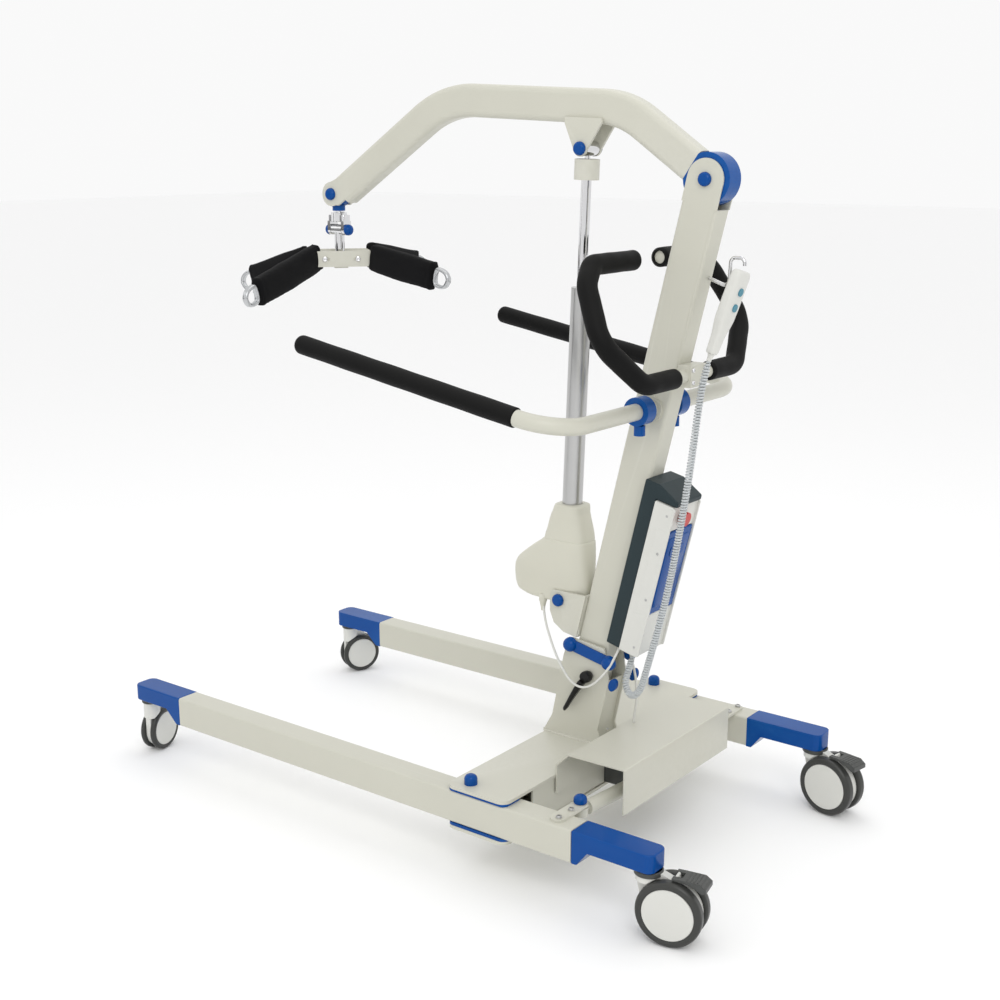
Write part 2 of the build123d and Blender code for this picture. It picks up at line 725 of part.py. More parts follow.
# ---------------------------------------------------------------- casters
for name, x, side, turn, radius, trail, half, web, head_r in casters:
    y = side * leg_y
    away = Plane(
        origin=(x, y, 0),
        x_dir=(cos(turn), sin(turn), 0),
        z_dir=(sin(turn), -cos(turn), 0),
    )
    with BuildPart() as fork:
        with BuildSketch(away.offset(-web)):
            with Locations((trail, radius)):
                Circle(radius - 8)
            with Locations((0, casting_underside - 8)):
                Rectangle(2 * head_r - 6, 14)
            make_hull()
            if radius > 55:
                with Locations((pedal_pin[0], pedal_pin[1] - 7)):
                    Rectangle(6, 14)
                with Locations(pedal_pin):
                    Circle(3)
                    Circle(1.8 + running_gap, mode=Mode.SUBTRACT)
            with Locations((trail, radius)):
                Circle(5 + running_gap, mode=Mode.SUBTRACT)
        extrude(amount=2 * web)
        with BuildSketch(Plane.XY.offset(2 * radius - 14)):
            with Locations((x, y)):
                Circle(head_r)
        extrude(amount=casting_underside - 0.3 - 2 * radius + 14)
        for low in (web + side_gap / 2, -half - 1):
            with BuildSketch(away.offset(low)):
                with Locations((trail, radius)):
                    Circle(radius + 2)
            extrude(amount=half + 1 - web - side_gap / 2, mode=Mode.SUBTRACT)
        with BuildSketch(Plane.XY.offset(casting_underside - 2)):
            with Locations((x, y)):
                Circle(stem_r)
        extrude(amount=28)
    save(fork.part, f"caster_fork_{name}")

    with BuildPart() as wheel:
        for low in (web + side_gap, -half):
            with BuildSketch(away.offset(low)):
                with Locations((trail, radius)):
                    Circle(radius)
            extrude(amount=half - web - side_gap)
        fillet(wheel.edges().filter_by(GeomType.CIRCLE), 4)
        with BuildSketch(away.offset(-half + 5)):
            with Locations((trail, radius)):
                Circle(5)
        extrude(amount=2 * half - 10)
    save(wheel.part, f"caster_wheel_{name}")

    if radius > 55:
        with BuildPart() as pedal:
            with BuildSketch(away.offset(-20)):
                with BuildLine():
                    Polyline(pedal_outline, close=True)
                make_face()
            extrude(amount=40)
            with BuildSketch(away.offset(-web - side_gap)):
                with Locations((50, 120)):
                    Rectangle(32, 40)
            extrude(amount=2 * web + 2 * side_gap, mode=Mode.SUBTRACT)
            with BuildSketch(away.offset(-15)):
                with Locations(pedal_pin):
                    Circle(1.8)
            extrude(amount=30)
        save(pedal.part, f"brake_pedal_{name}")

# ---------------------------------------------------------------- handle and arms
with BuildPart() as push_handle:
    add(tube_along(handle_route, handle_radii, handle_tube_r))
    with BuildSketch(side_plane.offset(-28)):
        with BuildLine():
            Polyline((-10.9, 940), (-0.8, 982), (28, 982), (28, 940), close=True)
        make_face()
    extrude(amount=56)
save(push_handle.part, "push_handle")

with BuildPart() as handle_foam:
    for side in (-1, 1):
        half_route = [(12, side * 60, 961)] + [(x, side * abs(y), z) for x, y, z in handle_route[5:]]
        half_route[-1] = (-92, side * 44, 1172)
        add(tube_along(half_route, handle_radii[4:], foam_r, handle_tube_r))
save(handle_foam.part, "handle_foam")

for side, word in ((-1, "near"), (1, "far")):
    with BuildPart() as arm:
        add(tube_along(
            [
                (arm_x, side * 4, arm_z),
                (arm_x, side * arm_y, arm_z),
                (arm_tip_x + 4, side * arm_y, arm_tip_z - 4 * tan(radians(arm_rise))),
            ],
            [arm_bend_r], arm_r, arm_r - 2.5,
        ))
    save(arm.part, f"arm_tube_{word}")
    with BuildPart() as grip:
        with BuildSketch(Plane(origin=(arm_tip_x, side * arm_y, arm_tip_z), z_dir=arm_down)):
            Circle(foam_r)
        extrude(amount=(grip_start_x - arm_tip_x - 6) / cos(radians(arm_rise)))
        with BuildSketch(Plane(origin=(arm_tip_x, side * arm_y, arm_tip_z), z_dir=arm_down).offset(4)):
            Circle(arm_r)
        extrude(amount=700, mode=Mode.SUBTRACT)
    save(grip.part, f"arm_grip_{word}")
    with BuildPart() as knob:
        with BuildSketch(Plane.XY.offset(846)):
            with Locations((arm_x, side * 63)):
                Circle(11)
        extrude(amount=19)
        with BuildSketch(Plane.XY.offset(865)):
            with Locations((arm_x, side * 63)):
                Circle(4)
        extrude(amount=11)
    save(knob.part, f"lock_knob_{word}")

with BuildPart() as arm_collars:
    for side in (-1, 1):
        with BuildSketch(side_plane.offset(-side * 48)):
            with Locations((arm_x, arm_z)):
                Circle(27.5)
                Circle(arm_r + running_gap, mode=Mode.SUBTRACT)
        extrude(amount=-side * 30)
        with BuildSketch(Plane.XY.offset(860)):
            with Locations((arm_x, side * 63)):
                Circle(4 + running_gap)
        extrude(amount=18, mode=Mode.SUBTRACT)
save(arm_collars.part, "arm_collars")

# ---------------------------------------------------------------- mast fittings
with BuildPart() as mast_link:
    for side in (-1, 1):
        with BuildSketch(side_plane.offset(-side * 34.1)):
            with BuildLine():
                Polyline((-229, 398), (-135, 378), (-137, 355), (-229, 374), close=True)
            make_face()
            with Locations((-229, 386), (-135, 366)):
                Circle(15)
        extrude(amount=-side * 7)
        with BuildSketch(side_plane.offset(-side * 34.1)):
            with Locations((-123, 322)):
                Ellipse(9, 14, rotation=-20)
        extrude(amount=-side * 10)
save(mast_link.part, "mast_link")

with BuildPart() as clamp_lever:
    with BuildSketch(side_plane.offset(34.4)):
        with Locations(lever_pivot):
            Circle(12)
    extrude(amount=20)
    with BuildSketch(side_plane.offset(42)):
        with BuildLine():
            Polyline((-193, 333), (-175, 322), (-232, 242), (-241, 248), close=True)
        make_face()
    extrude(amount=11)
    with BuildSketch(side_plane.offset(30.5)):
        with Locations(lever_pivot):
            Circle(5)
    extrude(amount=5)
save(clamp_lever.part, "clamp_lever")

mast_side = Plane(origin=mast_plane.origin, x_dir=mast_plane.x_dir, z_dir=(0, -1, 0))
with BuildPart() as control_bracket:
    with BuildSketch(mast_side.offset(-46)):
        with BuildLine():
            Polyline(
                (37.6, -925), (70, -925), (70, -599), (118, -599), (118, -588), (70, -568), (37.6, -568),
                close=True,
            )
        make_face()
    extrude(amount=92)
save(control_bracket.part, "control_bracket")

with BuildPart() as control_box:
    with BuildSketch(mast_side.offset(-box_half_y)):
        with BuildLine():
            Polyline(
                (70.1, -925), (112, -925), (112, -832), (90, -832), (90, -652), (112, -652),
                (112, -600), (70.1, -600), close=True,
            )
        make_face()
    extrude(amount=2 * box_half_y)
    with BuildSketch(Plane(origin=button_origin, z_dir=box_out)):
        Circle(7 + running_gap)
    extrude(amount=-12, mode=Mode.SUBTRACT)
save(control_box.part, "control_box")

with BuildPart() as battery:
    with BuildSketch(mast_side.offset(-46)):
        with BuildLine():
            Polyline((90.3, -831), (114, -831), (114, -653), (90.3, -653), close=True)
        make_face()
    extrude(amount=92)
save(battery.part, "battery")

with BuildPart() as stop_button:
    with BuildSketch(Plane(origin=button_origin, z_dir=box_out).offset(-6)):
        Circle(7)
    extrude(amount=10)
    with BuildSketch(Plane(origin=button_origin, z_dir=box_out).offset(4)):
        Circle(14)
    extrude(amount=11)
save(stop_button.part, "stop_button")

handset_plane = Plane(origin=handset_low, x_dir=(0, 1, -30 / 143), z_dir=(38, 30, 143))
with BuildPart() as handset:
    with BuildSketch(handset_plane):
        RectangleRounded(48, 24, 7)
    extrude(amount=160)
    for z in (92, 122):
        with BuildSketch(Plane(origin=handset_plane.from_local_coords((0, -12, z)), z_dir=-handset_plane.y_dir)):
            Circle(7.5 + running_gap)
        extrude(amount=-5, mode=Mode.SUBTRACT)
save(handset.part, "handset")
for z, word in ((122, "up"), (92, "down")):
    with BuildPart() as button:
        with BuildSketch(Plane(origin=handset_plane.from_local_coords((0, -12, z)), z_dir=-handset_plane.y_dir).offset(-3)):
            Circle(7.5)
        extrude(amount=5)
    save(button.part, f"handset_button_{word}")

with BuildPart() as handset_hook:
    add(tube_along(
        [(38.6, 8, 1142), (80, 8, 1128), (84, 6, 1182), (112, 6, 1182), (112, 6, 1168)],
        [10, 10, 10], 3.5,
    ))
save(handset_hook.part, "handset_hook")

# ---------------------------------------------------------------- cords
for name, route, radius in cords:
    bends = smooth_route(route)
    print(name, "bend radii", bends)
    with BuildPart() as cord:
        add(tube_along(route, bends, radius))
    save(cord.part, name)
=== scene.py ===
import json
import math

import bmesh
import bpy
import numpy as np
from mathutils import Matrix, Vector


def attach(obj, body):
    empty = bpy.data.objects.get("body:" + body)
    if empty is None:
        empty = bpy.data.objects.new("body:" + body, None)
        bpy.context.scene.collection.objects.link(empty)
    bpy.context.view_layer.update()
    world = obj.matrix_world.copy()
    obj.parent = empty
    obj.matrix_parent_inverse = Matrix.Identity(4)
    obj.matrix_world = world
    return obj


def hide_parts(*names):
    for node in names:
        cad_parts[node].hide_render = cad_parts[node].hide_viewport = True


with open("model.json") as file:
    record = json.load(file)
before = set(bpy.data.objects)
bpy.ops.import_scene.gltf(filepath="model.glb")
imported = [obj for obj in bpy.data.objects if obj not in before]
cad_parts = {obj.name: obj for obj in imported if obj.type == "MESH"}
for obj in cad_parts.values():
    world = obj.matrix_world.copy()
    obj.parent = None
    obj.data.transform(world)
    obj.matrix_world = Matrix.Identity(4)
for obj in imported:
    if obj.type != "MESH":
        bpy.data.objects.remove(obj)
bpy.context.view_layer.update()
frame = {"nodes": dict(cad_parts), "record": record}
bodyOf = {node: body for body, nodes in frame["record"]["behaviour"]["bodies"].items() for node in nodes}
print("stage: frame loaded")


# ---- small helpers

def linkObject(name, mesh):
    obj = bpy.data.objects.new(name, mesh)
    bpy.context.scene.collection.objects.link(obj)
    return obj


def shadeSmooth(obj, angle=40):
    # faces are smooth, and edges sharper than the angle stay crisp
    mesh = obj.data
    mesh.polygons.foreach_set("use_smooth", np.ones(len(mesh.polygons), dtype=bool))
    mesh.set_sharp_from_angle(angle=math.radians(angle))


def gridMesh(name, points, closeU=True, closeV=False, capStart=False, capEnd=False):
    # points[v, u] is a grid of positions; neighbours in u and v are joined by quads
    rows, cols = points.shape[:2]
    index = np.arange(rows * cols).reshape(rows, cols)
    right = np.roll(index, -1, axis=1) if closeU else index[:, 1:]
    left = index if closeU else index[:, :-1]
    low, high = (index, np.roll(index, -1, axis=0)) if closeV else (index[:-1], index[1:])
    span = cols if closeU else cols - 1
    a = left[: len(low)] if not closeV else left
    b = right[: len(low)] if not closeV else right
    c = (np.roll(right, -1, axis=0) if closeV else right[1:])
    d = (np.roll(left, -1, axis=0) if closeV else left[1:])
    quads = np.stack([a[:, :span], b[:, :span], c[:, :span], d[:, :span]], axis=-1).reshape(-1, 4)
    faces = quads.tolist()
    if capStart:
        faces.append(index[0, ::-1].tolist())
    if capEnd:
        faces.append(index[-1].tolist())
    mesh = bpy.data.meshes.new(name)
    mesh.from_pydata(points.reshape(-1, 3).tolist(), [], faces)
    mesh.update()
    obj = linkObject(name, mesh)
    return obj


def outward(obj):
    # merges doubles and turns every face outwards
    bm = bmesh.new()
    bm.from_mesh(obj.data)
    bmesh.ops.remove_doubles(bm, verts=bm.verts, dist=1e-6)
    bmesh.ops.recalc_face_normals(bm, faces=bm.faces)
    bm.to_mesh(obj.data)
    bm.free()
    return obj


def frameFrom(axis):
    # three unit vectors, the last along axis
    w = np.array(axis, float)
    w /= np.linalg.norm(w)
    helper = np.array([0.0, 0.0, 1.0]) if abs(w[2]) < 0.9 else np.array([1.0, 0.0, 0.0])
    u = np.cross(helper, w)
    u /= np.linalg.norm(u)
    return u, np.cross(w, u), w


def turned(name, profile, origin, axis, steps=64):
    # profile rows are (radius, height); each is carried round the axis
    u, v, w = frameFrom(axis)
    angle = np.linspace(0, 2 * np.pi, steps, endpoint=False)
    radius, height = np.array(profile, float).T
    ring = np.cos(angle)[:, None] * u + np.sin(angle)[:, None] * v
    points = np.array(origin) + radius[:, None, None] * ring[None] + height[:, None, None] * w
    obj = gridMesh(name, points)
    bm = bmesh.new()
    bm.from_mesh(obj.data)
    bmesh.ops.remove_doubles(bm, verts=bm.verts, dist=1e-6)
    bmesh.ops.holes_fill(bm, edges=[e for e in bm.edges if e.is_boundary])
    bmesh.ops.recalc_face_normals(bm, faces=bm.faces)
    bm.to_mesh(obj.data)
    bm.free()
    shadeSmooth(obj, 35)
    return obj


def arcProfile(cx, cy, radius, start, end, steps=8):
    # points on an arc, angles in degrees, as (radius, height) rows
    a = np.radians(np.linspace(start, end, steps))
    return [(cx + radius * math.cos(t), cy + radius * math.sin(t)) for t in a]


def pathFrames(path):
    # tangents and a rotation-minimising pair of normals along a path
    path = np.array(path, float)
    tangent = np.gradient(path, axis=0)
    tangent /= np.linalg.norm(tangent, axis=1)[:, None]
    normal = np.zeros_like(path)
    u, _, _ = frameFrom(tangent[0])
    for i, t in enumerate(tangent):
        u = u - t * (u @ t)
        u /= np.linalg.norm(u)
        normal[i] = u
    return path, tangent, normal, np.cross(tangent, normal)


def carried(name, path, section, scale=None, caps=True):
    # section rows are (a, b) offsets along the path's two normals; scale changes them along the way
    path, tangent, normal, across = pathFrames(path)
    section = np.array(section, float)
    scale = np.ones(len(path)) if scale is None else np.array(scale)
    offset = section[None, :, 0, None] * normal[:, None] + section[None, :, 1, None] * across[:, None]
    points = path[:, None] + offset * scale[:, None, None]
    obj = gridMesh(name, points, capStart=caps, capEnd=caps)
    outward(obj)
    shadeSmooth(obj)
    return obj


def circleSection(radius, steps=24):
    a = np.linspace(0, 2 * np.pi, steps, endpoint=False)
    return np.stack([radius * np.cos(a), radius * np.sin(a)], axis=1)


def roundRectSection(width, height, corner, steps=6):
    # rounded rectangle as one closed loop of (a, b) rows
    rows = []
    for sx, sy, start in ((1, 1, 0), (-1, 1, 90), (-1, -1, 180), (1, -1, 270)):
        a = np.radians(start + np.linspace(0, 90, steps))
        rows.append(np.stack([sx * (width / 2 - corner) + corner * np.cos(a),
                              sy * (height / 2 - corner) + corner * np.sin(a)], axis=1))
    return np.concatenate(rows)


def softened(node, width=0.0008, segments=3, angle=30):
    # a merged copy of a frame piece with its edges rounded, which stands for the piece
    source = frame["nodes"][node]
    mesh = source.data.copy()
    obj = linkObject(node + "Soft", mesh)
    bm = bmesh.new()
    bm.from_mesh(mesh)
    bmesh.ops.remove_doubles(bm, verts=bm.verts, dist=2e-5)
    bmesh.ops.dissolve_limit(bm, angle_limit=math.radians(1.0), verts=bm.verts, edges=bm.edges)
    bm.to_mesh(mesh)
    bm.free()
    mesh.materials.clear()
    bevel = obj.modifiers.new("edgeRound", "BEVEL")
    bevel.width = width
    bevel.segments = segments
    bevel.limit_method = "ANGLE"
    bevel.angle_limit = math.radians(angle)
    bevel.use_clamp_overlap = True
    bevel.harden_normals = True
    shadeSmooth(obj, angle)
    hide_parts(node)
    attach(obj, bodyOf[node])
    return obj


# ---- shared shader groups

def newGroup(name, inputs, outputs):
    group = bpy.data.node_groups.new(name, "ShaderNodeTree")
    for label, kind, value in inputs:
        socket = group.interface.new_socket(name=label, in_out="INPUT", socket_type=kind)
        socket.default_value = value
    for label, kind in outputs:
        group.interface.new_socket(name=label, in_out="OUTPUT", socket_type=kind)
    start = group.nodes.new("NodeGroupInput")
    end = group.nodes.new("NodeGroupOutput")
    return group, start, end


def addNode(tree, kind, **values):
    node = tree.nodes.new(kind)
    for key, value in values.items():
        if hasattr(node, key):
            setattr(node, key, value)
        else:
            node.inputs[key.replace("_", " ")].default_value = value
    return node


def mathNode(tree, operation, a, b=None):
    node = tree.nodes.new("ShaderNodeMath")
    node.operation = operation
    for slot, value in enumerate((a, b)):
        if value is None:
            continue
        if isinstance(value, (int, float)):
            node.inputs[slot].default_value = value
        else:
            tree.links.new(value, node.inputs[slot])
    return node.outputs[0]


def mixColor(tree, factor, a, b):
    node = tree.nodes.new("ShaderNodeMix")
    node.data_type = "RGBA"
    for socket, value in ((node.inputs[0], factor), (node.inputs[6], a), (node.inputs[7], b)):
        if isinstance(value, (int, float)):
            socket.default_value = value
        elif isinstance(value, tuple):
            socket.default_value = (*value, 1)
        else:
            tree.links.new(value, socket)
    return node.outputs[2]


def buildFinishGroup():
    # colour that drifts a little, paler worn edges and dust on faces that look up
    group, start, end = newGroup(
        "agedFinish",
        [("Color", "NodeSocketColor", (0.5, 0.5, 0.5, 1)), ("Worn", "NodeSocketColor", (0.8, 0.8, 0.8, 1)),
         ("Drift", "NodeSocketFloat", 0.06), ("Wear", "NodeSocketFloat", 0.3), ("Dust", "NodeSocketFloat", 0.08),
         ("Roughness", "NodeSocketFloat", 0.4)],
        [("Color", "NodeSocketColor"), ("Roughness", "NodeSocketFloat")])
    coord = addNode(group, "ShaderNodeTexCoord")
    broad = addNode(group, "ShaderNodeTexNoise", Scale=7.0, Detail=4.0)
    fine = addNode(group, "ShaderNodeTexNoise", Scale=95.0, Detail=3.0)
    group.links.new(coord.outputs["Object"], broad.inputs["Vector"])
    group.links.new(coord.outputs["Object"], fine.inputs["Vector"])
    geometry = addNode(group, "ShaderNodeNewGeometry")
    drift = mathNode(group, "MULTIPLY", mathNode(group, "SUBTRACT", broad.outputs["Fac"], 0.5), start.outputs["Drift"])
    hue = addNode(group, "ShaderNodeHueSaturation")
    group.links.new(start.outputs["Color"], hue.inputs["Color"])
    group.links.new(mathNode(group, "ADD", mathNode(group, "MULTIPLY", drift, 2.0), 1.0), hue.inputs["Value"])
    edge = addNode(group, "ShaderNodeMapRange", From_Min=0.53, From_Max=0.62)
    group.links.new(geometry.outputs["Pointiness"], edge.inputs["Value"])
    scuffed = mathNode(group, "MULTIPLY", edge.outputs[0], fine.outputs["Fac"])
    bared = mathNode(group, "MULTIPLY", scuffed, start.outputs["Wear"])
    worn = mixColor(group, bared, hue.outputs[0], start.outputs["Worn"])
    split = addNode(group, "ShaderNodeSeparateXYZ")
    group.links.new(geometry.outputs["Normal"], split.inputs[0])
    upward = mathNode(group, "MAXIMUM", split.outputs[2], 0.0)
    patchy = mathNode(group, "MULTIPLY", upward, broad.outputs["Fac"])
    settled = mathNode(group, "MULTIPLY", patchy, start.outputs["Dust"])
    dusty = mixColor(group, settled, worn, (0.62, 0.6, 0.55))
    group.links.new(dusty, end.inputs["Color"])
    uneven = mathNode(group, "ADD", mathNode(group, "MULTIPLY", settled, 0.6), mathNode(group, "MULTIPLY", drift, 1.2))
    rough = mathNode(group, "ADD", start.outputs["Roughness"], uneven)
    group.links.new(rough, end.inputs["Roughness"])
    return group


def buildGrainGroup():
    # height of a moulded grain or of paint's orange peel, in 0 to 1
    group, start, end = newGroup("surfaceGrain", [("Scale", "NodeSocketFloat", 900.0)], [("Height", "NodeSocketFloat")])
    coord = addNode(group, "ShaderNodeTexCoord")
    noise = addNode(group, "ShaderNodeTexNoise", Detail=2.0)
    group.links.new(coord.outputs["Object"], noise.inputs["Vector"])
    group.links.new(start.outputs["Scale"], noise.inputs["Scale"])
    group.links.new(noise.outputs["Fac"], end.inputs["Height"])
    return group


def buildCellGroup():
    # height of closed-cell foam: small rounded cells
    group, start, end = newGroup("foamCells", [("Scale", "NodeSocketFloat", 700.0)], [("Height", "NodeSocketFloat")])
    coord = addNode(group, "ShaderNodeTexCoord")
    cells = addNode(group, "ShaderNodeTexVoronoi")
    group.links.new(coord.outputs["Object"], cells.inputs["Vector"])
    group.links.new(start.outputs["Scale"], cells.inputs["Scale"])
    group.links.new(cells.outputs["Distance"], end.inputs["Height"])
    return group


def buildWeaveGroup():
    # height and thread mask of a plain weave laid over the piece's own UV map, in metres
    group, start, end = newGroup("plainWeave", [("Pitch", "NodeSocketFloat", 0.0011)],
                                 [("Height", "NodeSocketFloat"), ("Mask", "NodeSocketFloat")])
    uv = addNode(group, "ShaderNodeUVMap")
    split = addNode(group, "ShaderNodeSeparateXYZ")
    group.links.new(uv.outputs[0], split.inputs[0])
    turn = mathNode(group, "DIVIDE", 2 * math.pi, start.outputs["Pitch"])
    alongU = mathNode(group, "SINE", mathNode(group, "MULTIPLY", split.outputs[0], turn))
    alongV = mathNode(group, "SINE", mathNode(group, "MULTIPLY", split.outputs[1], turn))
    crossed = mathNode(group, "MULTIPLY", alongU, alongV)
    height = mathNode(group, "ADD", mathNode(group, "MULTIPLY", crossed, 0.5), 0.5)
    group.links.new(height, end.inputs["Height"])
    group.links.new(height, end.inputs["Mask"])
    return group


finishGroup = buildFinishGroup()
grainGroup = buildGrainGroup()
cellGroup = buildCellGroup()
weaveGroup = buildWeaveGroup()


def makeFinish(name, look):
    # one Principled material from a dictionary of its look
    material = bpy.data.materials.new(name)
    material.use_nodes = True
    tree = material.node_tree
    shader = tree.nodes["Principled BSDF"]
    shader.inputs["Metallic"].default_value = look.get("metallic", 0.0)
    shader.inputs["Coat Weight"].default_value = look.get("coat", 0.0)
    shader.inputs["Coat Roughness"].default_value = look.get("coatRoughness", 0.1)
    shader.inputs["Specular IOR Level"].default_value = look.get("specular", 0.5)
    shader.inputs["Sheen Weight"].default_value = look.get("sheen", 0.0)
    shader.inputs["Transmission Weight"].default_value = look.get("clear", 0.0)
    aged = tree.nodes.new("ShaderNodeGroup")
    aged.node_tree = finishGroup
    aged.inputs["Color"].default_value = (*look["color"], 1)
    aged.inputs["Worn"].default_value = (*look.get("worn", look["color"]), 1)
    for key in ("Drift", "Wear", "Dust", "Roughness"):
        if key.lower() in look:
            aged.inputs[key].default_value = look[key.lower()]
    color = aged.outputs["Color"]
    if "weave" in look:
        weave = tree.nodes.new("ShaderNodeGroup")
        weave.node_tree = weaveGroup
        weave.inputs["Pitch"].default_value = look["weave"]
        color = mixColor(tree, mathNode(tree, "MULTIPLY", weave.outputs["Mask"], 0.5), color, look["thread"])
    tree.links.new(color, shader.inputs["Base Color"])
    tree.links.new(aged.outputs["Roughness"], shader.inputs["Roughness"])
    if "bump" in look:
        source = tree.nodes.new("ShaderNodeGroup")
        source.node_tree = {"grain": grainGroup, "cells": cellGroup, "weave": weaveGroup}[look["texture"]]
        source.inputs[0].default_value = look["scale"]
        bump = tree.nodes.new("ShaderNodeBump")
        bump.inputs["Strength"].default_value = look["bump"]
        bump.inputs["Distance"].default_value = look.get("depth", 0.0002)
        tree.links.new(source.outputs["Height"], bump.inputs["Height"])
        tree.links.new(bump.outputs[0], shader.inputs["Normal"])
    return material


looks = {
    "creamPaint": dict(color=(0.572, 0.565, 0.487), worn=(0.76, 0.75, 0.7), roughness=0.36, drift=0.04, wear=0.3,
                       dust=0.04, specular=0.3, coat=0.12, coatRoughness=0.15, texture="grain", scale=420.0, bump=0.12),
    "bluePlastic": dict(color=(0.0, 0.06, 0.275), worn=(0.02, 0.15, 0.45), roughness=0.22, drift=0.08, wear=0.35,
                        dust=0.004, specular=0.14, coat=0.1, coatRoughness=0.06, texture="grain", scale=1500.0,
                        bump=0.15),
    "chromePlate": dict(color=(0.72, 0.72, 0.73), roughness=0.09, metallic=1.0, drift=0.05, dust=0.03, wear=0.0),
    "brushedAluminium": dict(color=(0.5, 0.5, 0.495), roughness=0.3, metallic=1.0, drift=0.12, dust=0.02, wear=0.0,
                             texture="grain", scale=600.0, bump=0.1),
    "slatePlastic": dict(color=(0.016, 0.03, 0.035), worn=(0.08, 0.1, 0.11), roughness=0.42, drift=0.1, wear=0.3,
                         dust=0.02, specular=0.25, texture="grain", scale=1300.0, bump=0.25),
    "greyPlastic": dict(color=(0.055, 0.058, 0.055), worn=(0.15, 0.15, 0.15), roughness=0.42, drift=0.1, wear=0.3,
                        dust=0.05, specular=0.3, texture="grain", scale=1300.0, bump=0.3),
    "blackFoam": dict(color=(0.004, 0.004, 0.004), worn=(0.03, 0.03, 0.03), roughness=0.62, drift=0.15, wear=0.2,
                      dust=0.012, specular=0.14, texture="cells", scale=900.0, bump=0.35),
    "blackFabric": dict(color=(0.0025, 0.0025, 0.003), thread=(0.009, 0.009, 0.01), roughness=0.8, drift=0.2, dust=0.01,
                        wear=0.0, specular=0.12, sheen=0.02, weave=0.0013, texture="weave", scale=0.0013, bump=0.5,
                        depth=0.0003),
    "blackPlastic": dict(color=(0.006, 0.006, 0.006), worn=(0.05, 0.05, 0.05), roughness=0.3, drift=0.1, wear=0.3,
                         dust=0.02, specular=0.25, texture="grain", scale=1200.0, bump=0.2),
    "whitePlastic": dict(color=(0.66, 0.66, 0.62), worn=(0.8, 0.8, 0.78), roughness=0.3, drift=0.04, wear=0.2,
                         dust=0.04, specular=0.35, coat=0.15, texture="grain", scale=1500.0, bump=0.08),
    "greyTread": dict(color=(0.04, 0.041, 0.038), worn=(0.1, 0.1, 0.1), roughness=0.32, drift=0.12, wear=0.2, dust=0.03,
                      specular=0.35, texture="grain", scale=800.0, bump=0.15),
    "creamPlastic": dict(color=(0.62, 0.61, 0.52), worn=(0.75, 0.74, 0.7), roughness=0.4, drift=0.04, wear=0.25,
                         dust=0.03, specular=0.3, texture="grain", scale=1400.0, bump=0.25),
    "milkyCoil": dict(color=(0.66, 0.69, 0.7), roughness=0.28, drift=0.05, dust=0.02, wear=0.0, clear=0.25),
    "castSilver": dict(color=(0.52, 0.53, 0.54), roughness=0.24, metallic=1.0, drift=0.1, dust=0.02, wear=0.0,
                       texture="grain", scale=500.0, bump=0.08),
    "redPlastic": dict(color=(0.5, 0.012, 0.008), worn=(0.6, 0.1, 0.08), roughness=0.3, drift=0.05, wear=0.2,
                       dust=0.05),
    "zincSteel": dict(color=(0.5, 0.5, 0.49), roughness=0.38, metallic=1.0, drift=0.2, dust=0.1, wear=0.0),
    "tealPrint": dict(color=(0.05, 0.22, 0.3), worn=(0.1, 0.3, 0.4), roughness=0.4, drift=0.05, wear=0.1, dust=0.05),
}
finishes = {name: makeFinish(name, look) for name, look in looks.items()}
finishOfSlot = {
    "cream_paint": "creamPaint", "blue_plastic": "bluePlastic", "chrome": "chromePlate",
    "aluminium": "brushedAluminium", "grey_plastic": "greyPlastic", "black_foam": "blackFoam",
    "black_fabric": "blackFabric", "black_plastic": "blackPlastic", "white_plastic": "whitePlastic",
    "grey_tread": "greyTread", "red_plastic": "redPlastic", "green_plastic": "tealPrint", "zinc_steel": "zincSteel",
    "clear_plastic": "milkyCoil",
}
slotOfNode = {row["node"]: row["material_slot"] for row in frame["record"]["subparts"]}
slotOfFinish = {finish: slot for slot, finish in finishOfSlot.items()}
slotOfFinish["creamPlastic"] = "white_plastic"
slotOfFinish["slatePlastic"] = "grey_plastic"
slotOfFinish["castSilver"] = "chrome"


def dress(obj, finish, body=None, replaced=()):
    obj.data.materials.clear()
    obj.data.materials.append(finishes[finish])
    if replaced:
        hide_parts(*replaced)
    if body:
        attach(obj, body)
    return obj


print("stage: finishes ready")

# ---- metal and moulded pieces that keep their frame shape, with rounded edges
edgeWidths = {
    "base_frame": 0.0012, "mast": 0.001, "spreader_cover": 0.0006, "leg_near": 0.001, "leg_far": 0.001,
    "leg_castings_near": 0.004, "leg_castings_far": 0.004, "control_bracket": 0.003, "control_box": 0.004,
    "battery": 0.003, "boom_clevis": 0.001,
    "hanger_yoke": 0.003, "push_handle": 0.0015, "gearmotor": 0.002, "mast_link": 0.0015,
}
for node, width in edgeWidths.items():
    dress(softened(node, width), "slatePlastic" if node == "control_bracket" else finishOfSlot[slotOfNode[node]])
for node, obj in frame["nodes"].items():
    if node not in edgeWidths:
        obj.data.materials.clear()
        obj.data.materials.append(finishes[finishOfSlot[slotOfNode[node]]])
print("stage: frame pieces dressed")

# ---- casters: grey treads, white domed discs, collars under the castings
casters = {
    "front_near": dict(stem=(-0.714, -0.3374), turn=1.808, wheel=0.05, trail=0.025, half=0.02, web=0.0065, head=0.019),
    "front_far": dict(stem=(-0.714, 0.3374), turn=1.124, wheel=0.05, trail=0.025, half=0.02, web=0.0065, head=0.019),
    "rear_near": dict(stem=(0.6385, -0.3374), turn=0.209, wheel=0.0625, trail=0.046, half=0.031, web=0.009, head=0.024),
    "rear_far": dict(stem=(0.6385, 0.3374), turn=-0.169, wheel=0.0625, trail=0.046, half=0.031, web=0.009, head=0.024),
}


